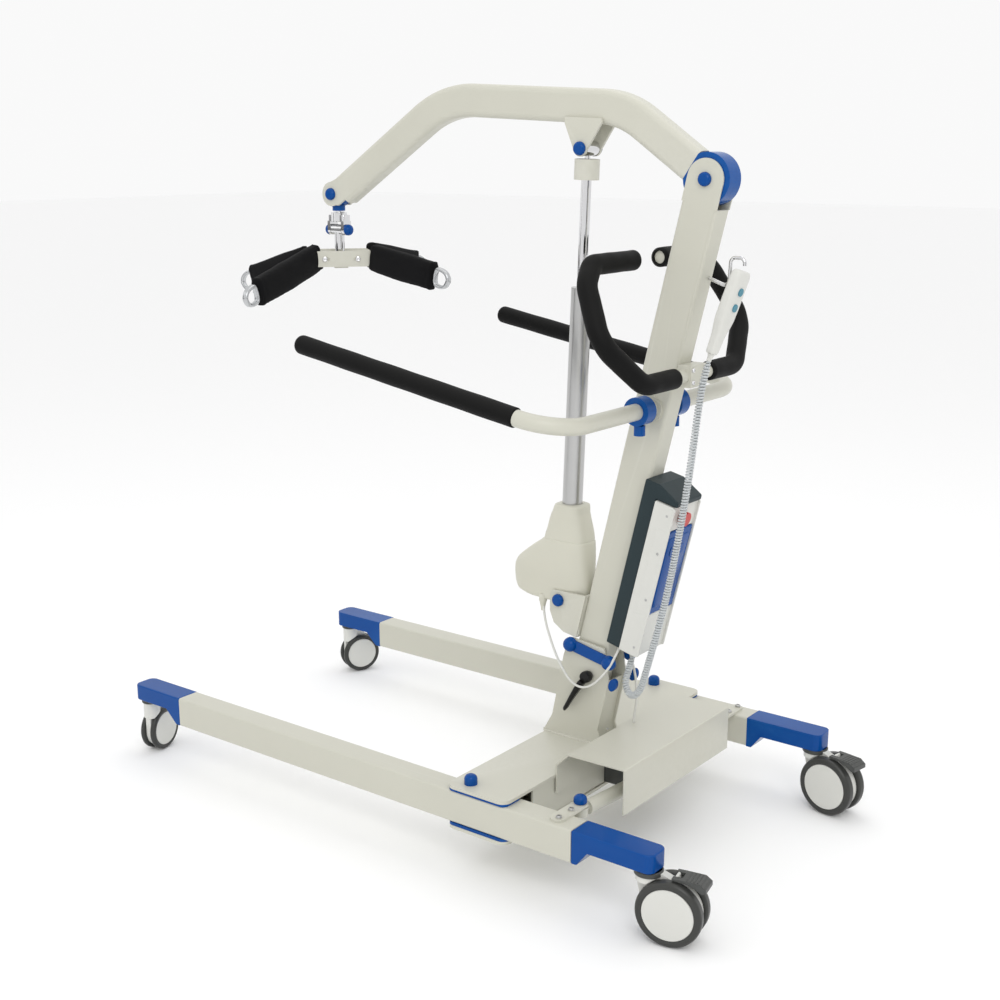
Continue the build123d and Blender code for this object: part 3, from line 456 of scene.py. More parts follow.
def joinMeshes(name, objs):
    # one piece out of several
    bm = bmesh.new()
    for obj in objs:
        bm.from_mesh(obj.data)
        bpy.data.objects.remove(obj)
    mesh = bpy.data.meshes.new(name)
    bm.to_mesh(mesh)
    bm.free()
    return linkObject(name, mesh)


for name, c in casters.items():
    ahead = np.array([math.cos(c["turn"]), math.sin(c["turn"]), 0.0])
    axle = np.array([math.sin(c["turn"]), -math.cos(c["turn"]), 0.0])
    hub = np.array([*c["stem"], c["wheel"]]) + ahead * c["trail"]
    r, low, high = c["wheel"], c["web"] + 0.0006, c["half"]
    wide = high - low
    edge = min(0.0055, wide * 0.42)
    treads, discs = [], []
    for side in (1, -1):
        profile = ([(0.006, low), (r - edge, low)] + arcProfile(r - edge, low + edge, edge, -90, 0)
                   + arcProfile(r - edge * 1.3, high - edge * 1.3, edge * 1.3, 0, 78, 10)
                   + [(r * 0.83, high - 0.0006), (r * 0.79, high - 0.0012), (r * 0.785, high - 0.0035),
                      (0.006, high - 0.0035)])
        treads.append(turned("tread", profile, hub, axle * side, 96))
        dome = [(r * 0.778 * t, high - 0.0008 + 0.0022 * (1 - t * t)) for t in np.linspace(0, 0.93, 10)]
        dome += [(r * 0.76, high - 0.0004), (r * 0.778, high - 0.0014), (r * 0.778, high - 0.0034)]
        discs.append(turned("disc", dome, hub, axle * side, 96))
    tread = joinMeshes("wheelTread_" + name, treads)
    disc = joinMeshes("wheelDisc_" + name, discs)
    shadeSmooth(tread, 50)
    shadeSmooth(disc, 40)
    dress(tread, "greyTread", "wheel_" + name, ["caster_wheel_" + name])
    dress(disc, "whitePlastic", "wheel_" + name)
    head = c["head"]
    collar = turned("casterCollar_" + name, [
        (head * 0.6, 0.1317), (head + 0.001, 0.1317), (head + 0.0026, 0.1308), (head + 0.003, 0.129),
        (head + 0.003, 0.1235), (head + 0.0018, 0.1222), (head * 0.6, 0.1222)], (*c["stem"], 0), (0, 0, 1), 64)
    dress(collar, "greyPlastic", "caster_" + name)
    if c["wheel"] > 0.06:
        # raised bars across the brake pedal's tread
        stem = np.array([*c["stem"], 0.0])
        bars = []
        for step in range(6):
            along = 0.076 + step * 0.0066
            top = 0.1304 if along < 0.1 else 0.1298 - (along - 0.1) * 0.7
            line = stem + ahead * along + np.array([0, 0, top]) + axle * np.linspace(-0.018, 0.018, 9)[:, None]
            bars.append(carried("bar", line, roundRectSection(0.0026, 0.0026, 0.0009, 3)))
        ribs = joinMeshes("pedalRibs_" + name, bars)
        shadeSmooth(ribs, 50)
        dress(ribs, "greyPlastic", "pedal_" + name)
print("stage: casters")


def filletPath(corners, radii, step=0.004):
    # straight runs between corners, joined by arcs that touch them
    corners = [np.array(p, float) for p in corners]
    out = [corners[0]]
    for k in range(1, len(corners) - 1):
        back = corners[k - 1] - corners[k]
        ahead = corners[k + 1] - corners[k]
        back /= np.linalg.norm(back)
        ahead /= np.linalg.norm(ahead)
        angle = math.acos(np.clip(back @ ahead, -1, 1))
        reach = radii[k - 1] / math.tan(angle / 2)
        middle = (back + ahead) / np.linalg.norm(back + ahead)
        centre = corners[k] + middle * radii[k - 1] / math.sin(angle / 2)
        first = corners[k] + back * reach - centre
        last = corners[k] + ahead * reach - centre
        sweep = math.pi - angle
        t = np.linspace(0, 1, max(6, int(radii[k - 1] * sweep / step)))[:, None]
        out.extend(centre + (np.sin((1 - t) * sweep) * first + np.sin(t * sweep) * last) / math.sin(sweep))
    out.append(corners[-1])
    out = np.array(out)
    walked = np.r_[0, np.cumsum(np.linalg.norm(np.diff(out, axis=0), axis=1))]
    even = np.linspace(0, walked[-1], int(walked[-1] / step) + 2)
    return np.stack([np.interp(even, walked, out[:, k]) for k in range(3)], axis=1)


def foamTube(name, path, radius, bore, rounding, sides=40):
    # radius(s, a) = R + soft lumps; both ends are rounded over and turned into the bore
    path, tangent, normal, across = pathFrames(path)
    s = np.r_[0, np.cumsum(np.linalg.norm(np.diff(path, axis=0), axis=1))]
    total = s[-1]
    a = np.linspace(0, 2 * np.pi, sides, endpoint=False)
    lumps = 0.00022 * np.sin(s * 61)[:, None] * np.cos(2 * a + 1.3)[None]
    lumps = lumps + 0.00018 * np.sin(s * 143 + 1)[:, None] * np.cos(a)[None]
    near = np.minimum(s, total - s)
    drop = np.where(near < rounding, rounding - np.sqrt(np.clip(rounding**2 - (rounding - near) ** 2, 0, None)), 0)
    ring = radius - drop[:, None] + lumps
    spoke = np.cos(a)[None, :, None] * normal[:, None] + np.sin(a)[None, :, None] * across[:, None]
    points = path[:, None] + ring[..., None] * spoke
    start = path[0] + bore * (np.cos(a)[:, None] * normal[0] + np.sin(a)[:, None] * across[0])
    end = path[-1] + bore * (np.cos(a)[:, None] * normal[-1] + np.sin(a)[:, None] * across[-1])
    inset = tangent[0] * 0.006
    outset = tangent[-1] * 0.006
    rows = np.concatenate([[start + inset], [start], points, [end], [end - outset]])
    obj = gridMesh(name, rows, capStart=True, capEnd=True)
    outward(obj)
    shadeSmooth(obj, 60)
    return obj


# ---- foam grips of the side arms and of the push handle
grips = {
    "radius": 0.019, "bore": 0.0161, "rise": math.radians(9.5), "tip": (-0.202, 0.33, 0.99842), "length": 0.5455,
    "cap": 0.012, "hem": 0.004,
}
for side, word in ((-1, "near"), (1, "far")):
    tip = np.array(grips["tip"]) * (1, side, 1)
    down = np.array([math.cos(grips["rise"]), 0, -math.sin(grips["rise"])])
    # the tip is domed shut and the other end meets the tube
    t = np.linspace(0, math.pi / 2, 12)
    cap, hem, full = grips["cap"], grips["hem"], grips["length"]
    length = np.r_[cap * (1 - np.cos(t)), np.linspace(cap + 0.004, full - 0.004, 130)]
    bulge = np.r_[grips["radius"] - cap + cap * np.sin(t), np.full(130, grips["radius"])]
    length = np.r_[length, full - hem + hem * np.sin(t)]
    bulge = np.r_[bulge, grips["radius"] - hem + hem * np.cos(t)]
    bulge = bulge + 0.0002 * np.sin(length * 57)
    profile = [(0.0, 0.0)] + list(zip(bulge, length)) + [(grips["bore"], full), (grips["bore"], full - 0.01)]
    obj = turned("armFoam_" + word, profile, tip, down, 48)
    dress(obj, "blackFoam", "arm_" + word, ["arm_grip_" + word])
handle = {
    "corners": [(0.5, 0.06, 0.961), (0.5, 0.168, 0.961), (0.463, 0.256, 1.043), (0.41, 0.223, 1.14),
                (0.396, 0.186, 1.172), (0.396, 0.044, 1.172)],
    "radii": [0.048, 0.06, 0.06, 0.028], "foam": 0.019, "bore": 0.0126, "rounding": 0.005,
}
halves = []
for side in (-1, 1):
    corners = [np.array(p) * (1, side, 1) for p in handle["corners"]]
    path = filletPath(corners, handle["radii"])
    halves.append(foamTube("half", path, handle["foam"], handle["bore"], handle["rounding"]))
handleFoam = joinMeshes("pushHandleFoam", halves)
shadeSmooth(handleFoam, 60)
dress(handleFoam, "blackFoam", "base", ["handle_foam"])
print("stage: foam grips")

# ---- padded fabric sleeves of the spreader bar
sleeveArms = [
    ((-0.379, 0.0773, 1.141), (-0.3965, 0.252, 1.109), 0.0),
    ((-0.321, 0.0248, 1.141), (-0.1455, 0.023, 1.109), 0.0),
    ((-0.472, -0.0248, 1.134), (-0.6475, -0.023, 1.081), 0.0),
    ((-0.414, -0.0773, 1.134), (-0.3965, -0.252, 1.081), 0.03),
]
sleeves = {
    "thick": 0.029, "tall": 0.06, "voxel": 0.0045, "pressure": 4.0, "cap": 0.003, "frames": 20, "quality": 6,
    "mass": 0.3, "tension": 12, "bending": 0.6,
}


def armFrame(inner, outer, extra):
    # where a sleeve starts, how far it reaches, and its three directions
    inner, outer = np.array(inner), np.array(outer)
    along = (outer - inner) / np.linalg.norm(outer - inner)
    start = inner - along * extra
    side = np.cross([0, 0, 1], along)
    side /= np.linalg.norm(side)
    return start, np.linalg.norm(outer - start), along, side, np.cross(along, side)


def sleeveForm(name, inner, outer, extra):
    # rounded box section carried along the arm: crowned in the middle, flared at the outer hem
    start, reach, along, side, up = armFrame(inner, outer, extra)
    t = np.linspace(0, 1, 64)
    thick = sleeves["thick"] * (0.94 + 0.16 * np.sin(np.pi * t) ** 0.7)
    tall = sleeves["tall"] * (0.96 + 0.05 * np.sin(np.pi * t) + 0.08 * np.clip((t - 0.8) / 0.2, 0, 1) ** 2)
    section = roundRectSection(1.0, 1.0, 0.24, 7)
    droop = -0.0015 * np.sin(np.pi * t)
    centre = start + along * reach * t[:, None] + up * droop[:, None]
    points = (centre[:, None] + side * (section[None, :, 0, None] * thick[:, None, None])
              + up * (section[None, :, 1, None] * tall[:, None, None]))
    obj = gridMesh(name, points, capStart=True, capEnd=True)
    outward(obj)
    return obj


forms = [sleeveForm("form", *arm) for arm in sleeveArms]
sleeveObj = joinMeshes("paddedSleeves", forms)
remesh = sleeveObj.modifiers.new("evenCloth", "REMESH")
remesh.mode = "VOXEL"
remesh.voxel_size = sleeves["voxel"]
graph = bpy.context.evaluated_depsgraph_get()
evenMesh = bpy.data.meshes.new_from_object(sleeveObj.evaluated_get(graph))
sleeveObj.modifiers.clear()
sleeveObj.data = evenMesh
rest = np.empty(len(evenMesh.vertices) * 3)
evenMesh.vertices.foreach_get("co", rest)
rest = rest.reshape(-1, 3)
held = np.zeros(len(rest))
seamDepth = np.zeros(len(rest))
stitch = {"inset": 0.011, "depth": 0.0011, "width": 0.0022}
for arm in sleeveArms:
    start, reach, along, side, up = armFrame(*arm)
    local = rest - start
    u, v, w = local @ along, local @ side, local @ up
    mine = (u > -0.01) & (u < reach + 0.01) & (abs(v) < 0.025) & (abs(w) < 0.045)
    hem = mine & ((u < 0.008) | (u > reach - 0.008))
    seam = mine & (w < -0.019) & (abs(v) < 0.004)
    held[hem | seam] = 1.0
    # a stitched line sinks a little round each hem: depth = deepest * exp(-(distance / width)^2)
    for distance in (u[mine] - stitch["inset"], reach - stitch["inset"] - u[mine]):
        seamDepth[mine] += stitch["depth"] * np.exp(-((distance / stitch["width"]) ** 2))
pin = sleeveObj.vertex_groups.new(name="held")
pin.add(np.flatnonzero(held).tolist(), 1.0, "REPLACE")
cloth = sleeveObj.modifiers.new("stuffing", "CLOTH")
cloth.settings.quality = sleeves["quality"]
cloth.settings.mass = sleeves["mass"]
cloth.settings.tension_stiffness = sleeves["tension"]
cloth.settings.bending_stiffness = sleeves["bending"]
cloth.settings.use_pressure = True
cloth.settings.uniform_pressure_force = sleeves["pressure"]
cloth.settings.effector_weights.gravity = 0.0
cloth.settings.vertex_group_mass = "held"
cloth.point_cache.frame_start = 1
cloth.point_cache.frame_end = sleeves["frames"]
for step in range(1, sleeves["frames"] + 1):
    bpy.context.scene.frame_set(step)
graph = bpy.context.evaluated_depsgraph_get()
blown = bpy.data.meshes.new_from_object(sleeveObj.evaluated_get(graph))
after = np.empty(len(blown.vertices) * 3)
blown.vertices.foreach_get("co", after)
shift = after.reshape(-1, 3) - rest
far = np.linalg.norm(shift, axis=1)
shift *= np.minimum(1, sleeves["cap"] / np.maximum(far, 1e-9))[:, None]
sleeveObj.modifiers.clear()
bpy.context.scene.frame_set(1)
rest = rest + shift
print("stage: sleeves filled, most moved", round(float(far.max()) * 1000, 2), "mm")
evenMesh.vertices.foreach_set("co", rest.ravel())
evenMesh.update()
normals = np.empty(len(rest) * 3)
evenMesh.vertices.foreach_get("normal", normals)
normals = normals.reshape(-1, 3)
# creases = depth * sin(along x, bent by height) * sin(along y and height)
bent = np.sin(rest[:, 0] * 62 + 2 * np.sin(rest[:, 2] * 70))
creases = 0.0005 * bent * np.sin(rest[:, 1] * 57 + rest[:, 2] * 85)
evenMesh.vertices.foreach_set("co", (rest + normals * (creases - seamDepth)[:, None]).ravel())
evenMesh.update()
uv = evenMesh.uv_layers.new(name="cloth")
loopVerts = np.empty(len(evenMesh.loops), dtype=np.int32)
evenMesh.loops.foreach_get("vertex_index", loopVerts)
flat = np.stack([rest[loopVerts, 0] + rest[loopVerts, 1], rest[loopVerts, 2]], axis=1)
uv.data.foreach_set("uv", flat.ravel())
smoothing = sleeveObj.modifiers.new("smoothCloth", "SUBSURF")
smoothing.levels = 1
smoothing.render_levels = 1
evenMesh.polygons.foreach_set("use_smooth", np.ones(len(evenMesh.polygons), dtype=bool))
dress(sleeveObj, "blackFabric", "spreader", ["arm_sleeves"])

# ---- bent metal loops at the ends of the spreader arms
hookLoop = {
    "outline": [(0.0032, -0.017), (0.0032, 0.017), (0.0175, 0.0178), (0.032, 0.0135), (0.041, 0.001), (0.0345, -0.0155),
                (0.021, -0.0195)],
    "wide": 0.0125, "thick": 0.0075, "corner": 0.0028, "cuts": 3, "inset": 0.22,
}
loops = []
for inner, outer, _ in sleeveArms:
    inner, outer = np.array(inner), np.array(outer)
    along = (outer - inner) / np.linalg.norm(outer - inner)
    side = np.cross([0, 0, 1], along)
    side /= np.linalg.norm(side)
    up = np.cross(side, along)
    ring = np.array(hookLoop["outline"])
    for _ in range(hookLoop["cuts"]):
        # corner cutting: each corner is replaced by two points, about a fifth in from it
        after = np.roll(ring, -1, axis=0)
        inset = hookLoop["inset"]
        ring = np.stack([ring * (1 - inset) + after * inset, ring * inset + after * (1 - inset)], axis=1).reshape(-1, 2)
    centre = outer + along * 0.0004 + ring[:, 0, None] * along + ring[:, 1, None] * up * -1
    tangent = np.roll(centre, -1, axis=0) - np.roll(centre, 1, axis=0)
    tangent /= np.linalg.norm(tangent, axis=1)[:, None]
    outwardDir = np.cross(tangent, side)
    section = roundRectSection(hookLoop["wide"], hookLoop["thick"], hookLoop["corner"], 4)
    points = centre[:, None] + section[None, :, 0, None] * side + section[None, :, 1, None] * outwardDir[:, None]
    ringObj = gridMesh("loop", points, closeV=True)
    outward(ringObj)
    loops.append(ringObj)
hooks = joinMeshes("slingLoops", loops)
shadeSmooth(hooks, 45)
dress(hooks, "castSilver", "spreader", ["sling_hooks"])
print("stage: spreader bar")


# ---- motor housing: level slices, each a rounded rectangle, narrowing to the neck
def sliceStack(name, rows, steps=64, power=3.4, bore=None):
    # rows are (height, x low, x high, half width); x = centre + reach * sign(cos) |cos|^(2/p)
    rows = np.array(rows)
    fine = np.linspace(0, len(rows) - 1, 90)
    keys = np.arange(len(rows))
    z, lo, hi, half = [np.interp(fine, keys, rows[:, k]) for k in range(4)]
    kernel = np.array([1, 2, 3, 2, 1]) / 9
    lo, hi, half = [np.r_[q[:2], np.convolve(q, kernel, "valid"), q[-2:]] for q in (lo, hi, half)]
    a = np.linspace(0, 2 * np.pi, steps, endpoint=False)
    c = np.sign(np.cos(a)) * np.abs(np.cos(a)) ** (2 / power)
    s = np.sign(np.sin(a)) * np.abs(np.sin(a)) ** (2 / power)
    x = (lo + hi)[:, None] / 2 + (hi - lo)[:, None] / 2 * c
    y = half[:, None] * s
    points = np.stack([x, y, np.broadcast_to(z[:, None], x.shape)], axis=-1)
    if bore:
        # the top turns in to a round bore about the leaning axis x = x0 + lean * z
        top = z[-1]
        for low in (top, bore["bottom"]):
            centre = bore["x"] + bore["lean"] * low
            circle = [centre + bore["radius"] * np.cos(a), bore["radius"] * np.sin(a), np.full(steps, low)]
            ring = np.stack(circle, axis=-1)
            points = np.concatenate([points, ring[None]])
    obj = gridMesh(name, points, capStart=True, capEnd=True)
    outward(obj)
    shadeSmooth(obj, 50)
    return obj


motorRows = [
    (0.4640, 0.196, 0.262, 0.016), (0.4655, 0.160, 0.274, 0.024), (0.4685, 0.128, 0.279, 0.0285),
    (0.4760, 0.106, 0.281, 0.030), (0.4900, 0.0995, 0.282, 0.0302), (0.5100, 0.0985, 0.2825, 0.033),
    (0.5300, 0.1005, 0.2825, 0.0365), (0.5450, 0.108, 0.2825, 0.0375), (0.5620, 0.128, 0.2822, 0.0375),
    (0.5800, 0.152, 0.2815, 0.037), (0.5960, 0.176, 0.280, 0.0355), (0.5985, 0.1775, 0.2775, 0.0335),
    (0.6010, 0.1765, 0.279, 0.0345), (0.6200, 0.1835, 0.276, 0.033), (0.6400, 0.1885, 0.2705, 0.031),
    (0.6500, 0.1925, 0.268, 0.0308), (0.6560, 0.1955, 0.2665, 0.0305), (0.6660, 0.1995, 0.2665, 0.0302),
    (0.6712, 0.2015, 0.2655, 0.0296), (0.6730, 0.206, 0.261, 0.026),
]
motor = sliceStack("motorHousing", motorRows, bore={"bottom": 0.612, "radius": 0.0125, "x": 0.2086, "lean": 0.0367})
dress(motor, "creamPlastic", "actuator", ["actuator_motor"])
glandProfile = [
    (0.0, 0.478), (0.0085, 0.478), (0.0085, 0.462), (0.0072, 0.4585), (0.0046, 0.447), (0.0042, 0.4405), (0.0, 0.4405),
]
gland = turned("motorGland", glandProfile, (0.179, -0.024, 0), (0, 0, 1), 32)
dress(gland, "creamPlastic", "actuator")

# ---- handset: a rounded body that narrows to its cord
handsetAt = {"origin": (0.555, -0.025, 1.008), "axis": (38, 30, 143), "across": (0, 1, -30 / 143)}
hAxis = np.array(handsetAt["axis"], float)
hAxis /= np.linalg.norm(hAxis)
hSide = np.array(handsetAt["across"], float)
hSide -= hAxis * (hSide @ hAxis)
hSide /= np.linalg.norm(hSide)
hFront = np.cross(hAxis, hSide)
heights = np.array([0.0, 0.0015, 0.006, 0.02, 0.038, 0.052, 0.066, 0.09, 0.12, 0.148, 0.156, 0.1592, 0.16])
wides = np.array([0.018, 0.0225, 0.0255, 0.028, 0.0315, 0.039, 0.0455, 0.048, 0.048, 0.0475, 0.0445, 0.039, 0.032])
deeps = np.array([0.013, 0.0165, 0.018, 0.0185, 0.0195, 0.022, 0.0238, 0.024, 0.024, 0.0238, 0.021, 0.0165, 0.012])
fineH = np.r_[np.linspace(0, 0.01, 8), np.linspace(0.012, 0.148, 40), np.linspace(0.15, 0.16, 10)]
section = roundRectSection(1.0, 1.0, 0.3, 7)
wide, deep = np.interp(fineH, heights, wides), np.interp(fineH, heights, deeps)
points = (np.array(handsetAt["origin"]) + hAxis * fineH[:, None, None]
          + hSide * (section[None, :, 0, None] * wide[:, None, None])
          + hFront * (section[None, :, 1, None] * deep[:, None, None]))
handsetBody = gridMesh("handsetBody", points, capStart=True, capEnd=True)
outward(handsetBody)
shadeSmooth(handsetBody, 50)
dress(handsetBody, "whitePlastic", "base", ["handset"])
reliefProfile = [(0.0, 0.004), (0.0065, 0.004), (0.0068, -0.001), (0.005, -0.006), (0.0046, -0.014), (0.0, -0.014)]
relief = turned("handsetRelief", reliefProfile, handsetAt["origin"], hAxis, 24)
dress(relief, "whitePlastic", "base")


# ---- bolt heads with a socket, and small screws
def boltHead(name, place, axis, radius, body, finish="chromePlate", tall=None):
    tall = radius * 0.55 if tall is None else tall
    profile = [(0.0, tall * 0.35), (radius * 0.42, tall * 0.35), (radius * 0.45, tall * 0.95), (radius * 0.55, tall),
               (radius * 0.85, tall * 0.8), (radius, tall * 0.35), (radius, -0.001), (0.0, -0.001)]
    return dress(turned(name, profile, place, axis, 24), finish, body)


for k, (along, face) in enumerate(((-0.036, 1), (0.036, 1), (-0.036, -1), (0.036, -1))):
    turn = math.radians(47.7)
    ahead = np.array([math.cos(turn), math.sin(turn), 0])
    outDir = np.array([math.sin(turn), -math.cos(turn), 0]) * face
    boltHead("plateBolt_%d" % k, np.array([-0.3965, 0, 1.138]) + ahead * along + outDir * 0.0425, outDir, 0.006, "spreader")
for side, word in ((-1, "near"), (1, "far")):
    for k, y in enumerate((0.304, 0.344)):
        place = (0.447, side * y, 0.1757)
        boltHead("lugBolt_%s_%d" % (word, k), place, (0, 0, 1), 0.0058, "leg_%s_body" % word, "zincSteel")
for k, z in enumerate((0.95, 0.973)):
    for side in (-1, 1):
        boltHead("handleBolt_%d_%d" % (k, side), (0.5165, side * 0.021, z), (1, 0, 0), 0.0045, "base")
tilt = math.radians(13.53)
mastAlong = np.array([math.sin(tilt), 0, math.cos(tilt)])
mastOut = np.array([math.cos(tilt), 0, -math.sin(tilt)])
mastTop = np.array([0.0419 + 0.488, 0, 1.321])
k = 0
for local in (-0.905, -0.80, -0.70, -0.62):
    for side in (-1, 1):
        k += 1
        place = mastTop + mastAlong * local + mastOut * 0.103 + np.array([0, side * 0.0499, 0])
        boltHead("boxScrew_%d" % k, place, (0, side, 0), 0.0026, "base", "zincSteel", 0.0007)
boltHead("coverScrew", (0.3605, -0.05, 0.2305), (0, 0, 1), 0.003, "base", "zincSteel", 0.001)

# ---- battery front: a raised panel and a smaller raised catch
batteryAt = mastTop + mastAlong * -0.742 + mastOut * 0.1138
panel = []
for along, wide, tall, high in ((0.0, 0.078, 0.15, 0.0014), (0.045, 0.05, 0.02, 0.0028)):
    section = roundRectSection(wide, tall, 0.006, 6)
    base = batteryAt + mastAlong * along
    rows = []
    for lift, shrink in ((-0.002, 1.0), (high - 0.0005, 1.0), (high, 0.985)):
        rows.append(base + mastOut * lift + section[:, 0, None] * shrink * np.array([0, 1, 0])
                    + section[:, 1, None] * shrink * mastAlong)
    plate = gridMesh("plate", np.array(rows), capStart=True, capEnd=True)
    outward(plate)
    panel.append(plate)
panelObj = joinMeshes("batteryPanel", panel)
shadeSmooth(panelObj, 35)
dress(panelObj, "bluePlastic", "battery_pack")

# ---- white side flanges that close the recess of the control box
flangeAt = {"from": -0.923, "to": -0.601, "inner": 0.0855, "outer": 0.1165, "y": (0.0462, 0.0497)}
for side, word in ((-1, "near"), (1, "far")):
    length = flangeAt["to"] - flangeAt["from"]
    section = roundRectSection(flangeAt["outer"] - flangeAt["inner"], length, 0.004, 6)
    middle = mastTop + mastAlong * (flangeAt["from"] + length / 2) + mastOut * (flangeAt["inner"] + flangeAt["outer"]) / 2
    rows = []
    for y, shrink in ((flangeAt["y"][0], 0.998), (flangeAt["y"][1] - 0.0006, 1.0), (flangeAt["y"][1], 0.996)):
        rows.append(middle + np.array([0, side * y, 0]) + section[:, 0, None] * shrink * mastOut
                    + section[:, 1, None] * shrink * mastAlong)
    flange = gridMesh("boxFlange_" + word, np.array(rows), capStart=True, capEnd=True)
    outward(flange)
    shadeSmooth(flange, 35)
    dress(flange, "whitePlastic", "base")

# ---- domed bosses at the ends of the blue links
bossDome = [
    (0.0, 0.0115), (0.004, 0.0112), (0.0085, 0.0098), (0.012, 0.007), (0.0143, 0.003), (0.0152, -0.001),
    (0.0152, -0.006), (0.0, -0.006),
]
for side, word in ((-1, "near"), (1, "far")):
    for k, (x, z) in enumerate(((0.259, 0.386), (0.353, 0.366))):
        linkBoss = turned("linkBoss_%s_%d" % (word, k), bossDome, (x, side * 0.0412, z), (0, side, 0), 48)
        dress(linkBoss, "bluePlastic", "base")

# ---- slim clamp lever: a boss and a blade that narrows to its tip
lever = {"boss": (0.304, -0.0345, 0.328), "bend": (0.2975, -0.0505, 0.3185), "tip": (0.2525, -0.0475, 0.2455)}
bossProfile = [
    (0.0, 0.0), (0.0085, 0.0), (0.0095, 0.001), (0.0122, 0.0075), (0.0124, 0.016), (0.0112, 0.0195), (0.008, 0.0208),
    (0.0, 0.0212),
]
boss = turned("boss", bossProfile, lever["boss"], (0, -1, 0), 40)
t = np.linspace(0, 1, 50)[:, None]
blade = (1 - t) * np.array(lever["bend"]) + t * np.array(lever["tip"]) + np.sin(np.pi * t) * np.array([0, -0.0025, 0])
narrow = np.interp(t[:, 0], [0, 0.06, 0.75, 0.93, 1.0], [0.85, 1.0, 0.62, 0.6, 0.4])
bladeObj = carried("blade", blade, roundRectSection(0.0205, 0.0135, 0.0045, 6), narrow)
leverObj = joinMeshes("clampLever", [boss, bladeObj])
shadeSmooth(leverObj, 45)
dress(leverObj, "blackPlastic", "lever", ["clamp_lever"])

# ---- polished barrel and washer above the yoke's pin
barrel = [
    (0.0, 1.2165), (0.0168, 1.2165), (0.0176, 1.2175), (0.0176, 1.2355), (0.0168, 1.2365), (0.0128, 1.2367),
    (0.0126, 1.2385), (0.0, 1.2385),
]
dress(turned("yokeBarrel", barrel, (-0.3965, 0, 0), (0, 0, 1), 56), "chromePlate", "yoke")
print("stage: housings and fasteners")


# ---- weld beads where plates meet
def weldBead(name, path, radius, body):
    # a ripple every 4 mm runs along the bead
    path = np.array(path, float)
    walked = np.r_[0, np.cumsum(np.linalg.norm(np.diff(path, axis=0), axis=1))]
    even = np.linspace(0, walked[-1], max(8, int(walked[-1] / 0.001)))
    line = np.stack([np.interp(even, walked, path[:, k]) for k in range(3)], axis=1)
    ripple = 1 + 0.12 * np.abs(np.sin(even * math.pi / 0.004))
    ends = np.clip(np.minimum(even, even[-1] - even) / radius, 0.15, 1)
    return dress(carried(name, line, circleSection(radius, 10), ripple * ends), "creamPaint", body)


weld = {"radius": 0.0028, "height": 0.1805}
for side in (-1, 1):
    ends = [(0.19, side * 0.0345, weld["height"]), (0.348, side * 0.0345, weld["height"])]
    weldBead("socketWeld_%d" % side, ends, weld["radius"], "base")
ends = [(0.1885, -0.032, weld["height"]), (0.1885, 0.032, weld["height"])]
weldBead("socketFrontWeld", ends, weld["radius"], "base")
print("stage: welds")

# ---- cords
handsetCord = {
    "route": [
        (0.5545, -0.0254, 1.006), (0.548, -0.031, 0.978), (0.544, -0.042, 0.930), (0.537, -0.052, 0.819),
        (0.527, -0.055, 0.732), (0.513, -0.056, 0.642), (0.496, -0.056, 0.550), (0.476, -0.056, 0.465),
        (0.453, -0.054, 0.385), (0.434, -0.047, 0.326), (0.404, -0.036, 0.304), (0.383, -0.026, 0.328),
        (0.3926, -0.022, 0.362), (0.4017, -0.022, 0.3996),
    ],
    "coilRadius": 0.0052, "wire": 0.0023, "pitch": 0.0056,
}
actuatorCord = [
    (0.179, -0.024, 0.464), (0.184, -0.028, 0.430), (0.212, -0.042, 0.385), (0.246, -0.060, 0.350),
    (0.283, -0.066, 0.312), (0.323, -0.066, 0.312), (0.358, -0.054, 0.352), (0.370, -0.040, 0.385),
    (0.375, -0.032, 0.406),
]
spreaderCord = [
    (0.366, 0.012, 0.4088), (0.370, 0.014, 0.375), (0.384, 0.016, 0.330), (0.388, 0.016, 0.280),
    (0.384, 0.014, 0.250), (0.384, 0.012, 0.2296),
]


def splineCurve(name, route, radius):
    curve = bpy.data.curves.new(name, "CURVE")
    curve.dimensions = "3D"
    curve.resolution_u = 12
    curve.bevel_depth = radius
    curve.bevel_resolution = 4
    curve.use_fill_caps = True
    spline = curve.splines.new("NURBS")
    spline.points.add(len(route) - 1)
    spline.points.foreach_set("co", np.array([(*p, 1) for p in route]).ravel())
    spline.order_u = 3
    spline.use_endpoint_u = True
    return linkObject(name, curve)


def curvePoints(name, route, step):
    # evenly spaced points on the smooth line that the route controls
    helper = splineCurve(name, route, 0.0)
    helper.data.resolution_u = 48
    graph = bpy.context.evaluated_depsgraph_get()
    mesh = bpy.data.meshes.new_from_object(helper.evaluated_get(graph))
    points = np.empty(len(mesh.vertices) * 3)
    mesh.vertices.foreach_get("co", points)
    points = points.reshape(-1, 3)
    bpy.data.objects.remove(helper)
    length = np.r_[0, np.cumsum(np.linalg.norm(np.diff(points, axis=0), axis=1))]
    count = max(8, int(length[-1] / step))
    even = np.linspace(0, length[-1], count)
    return np.stack([np.interp(even, length, points[:, k]) for k in range(3)], axis=1), length[-1]


cableDiameter = 0.005
cables = (("actuatorCable", "actuator_cord", actuatorCord), ("spreaderCable", "spreader_cord", spreaderCord))
for name, node, route in cables:
    _, cableLength = curvePoints(name + "Line", route, 0.004)
    cable = splineCurve(name, route, cableDiameter / 2)
    dress(cable, "whitePlastic", "base", [node])
    print("stage:", name, round(float(cableLength), 3))

linePoints, lineLength = curvePoints("handsetLine", handsetCord["route"], 0.0006)
line, lineTangent, lineNormal, lineAcross = pathFrames(linePoints)
walked = np.linspace(0, lineLength, len(line))
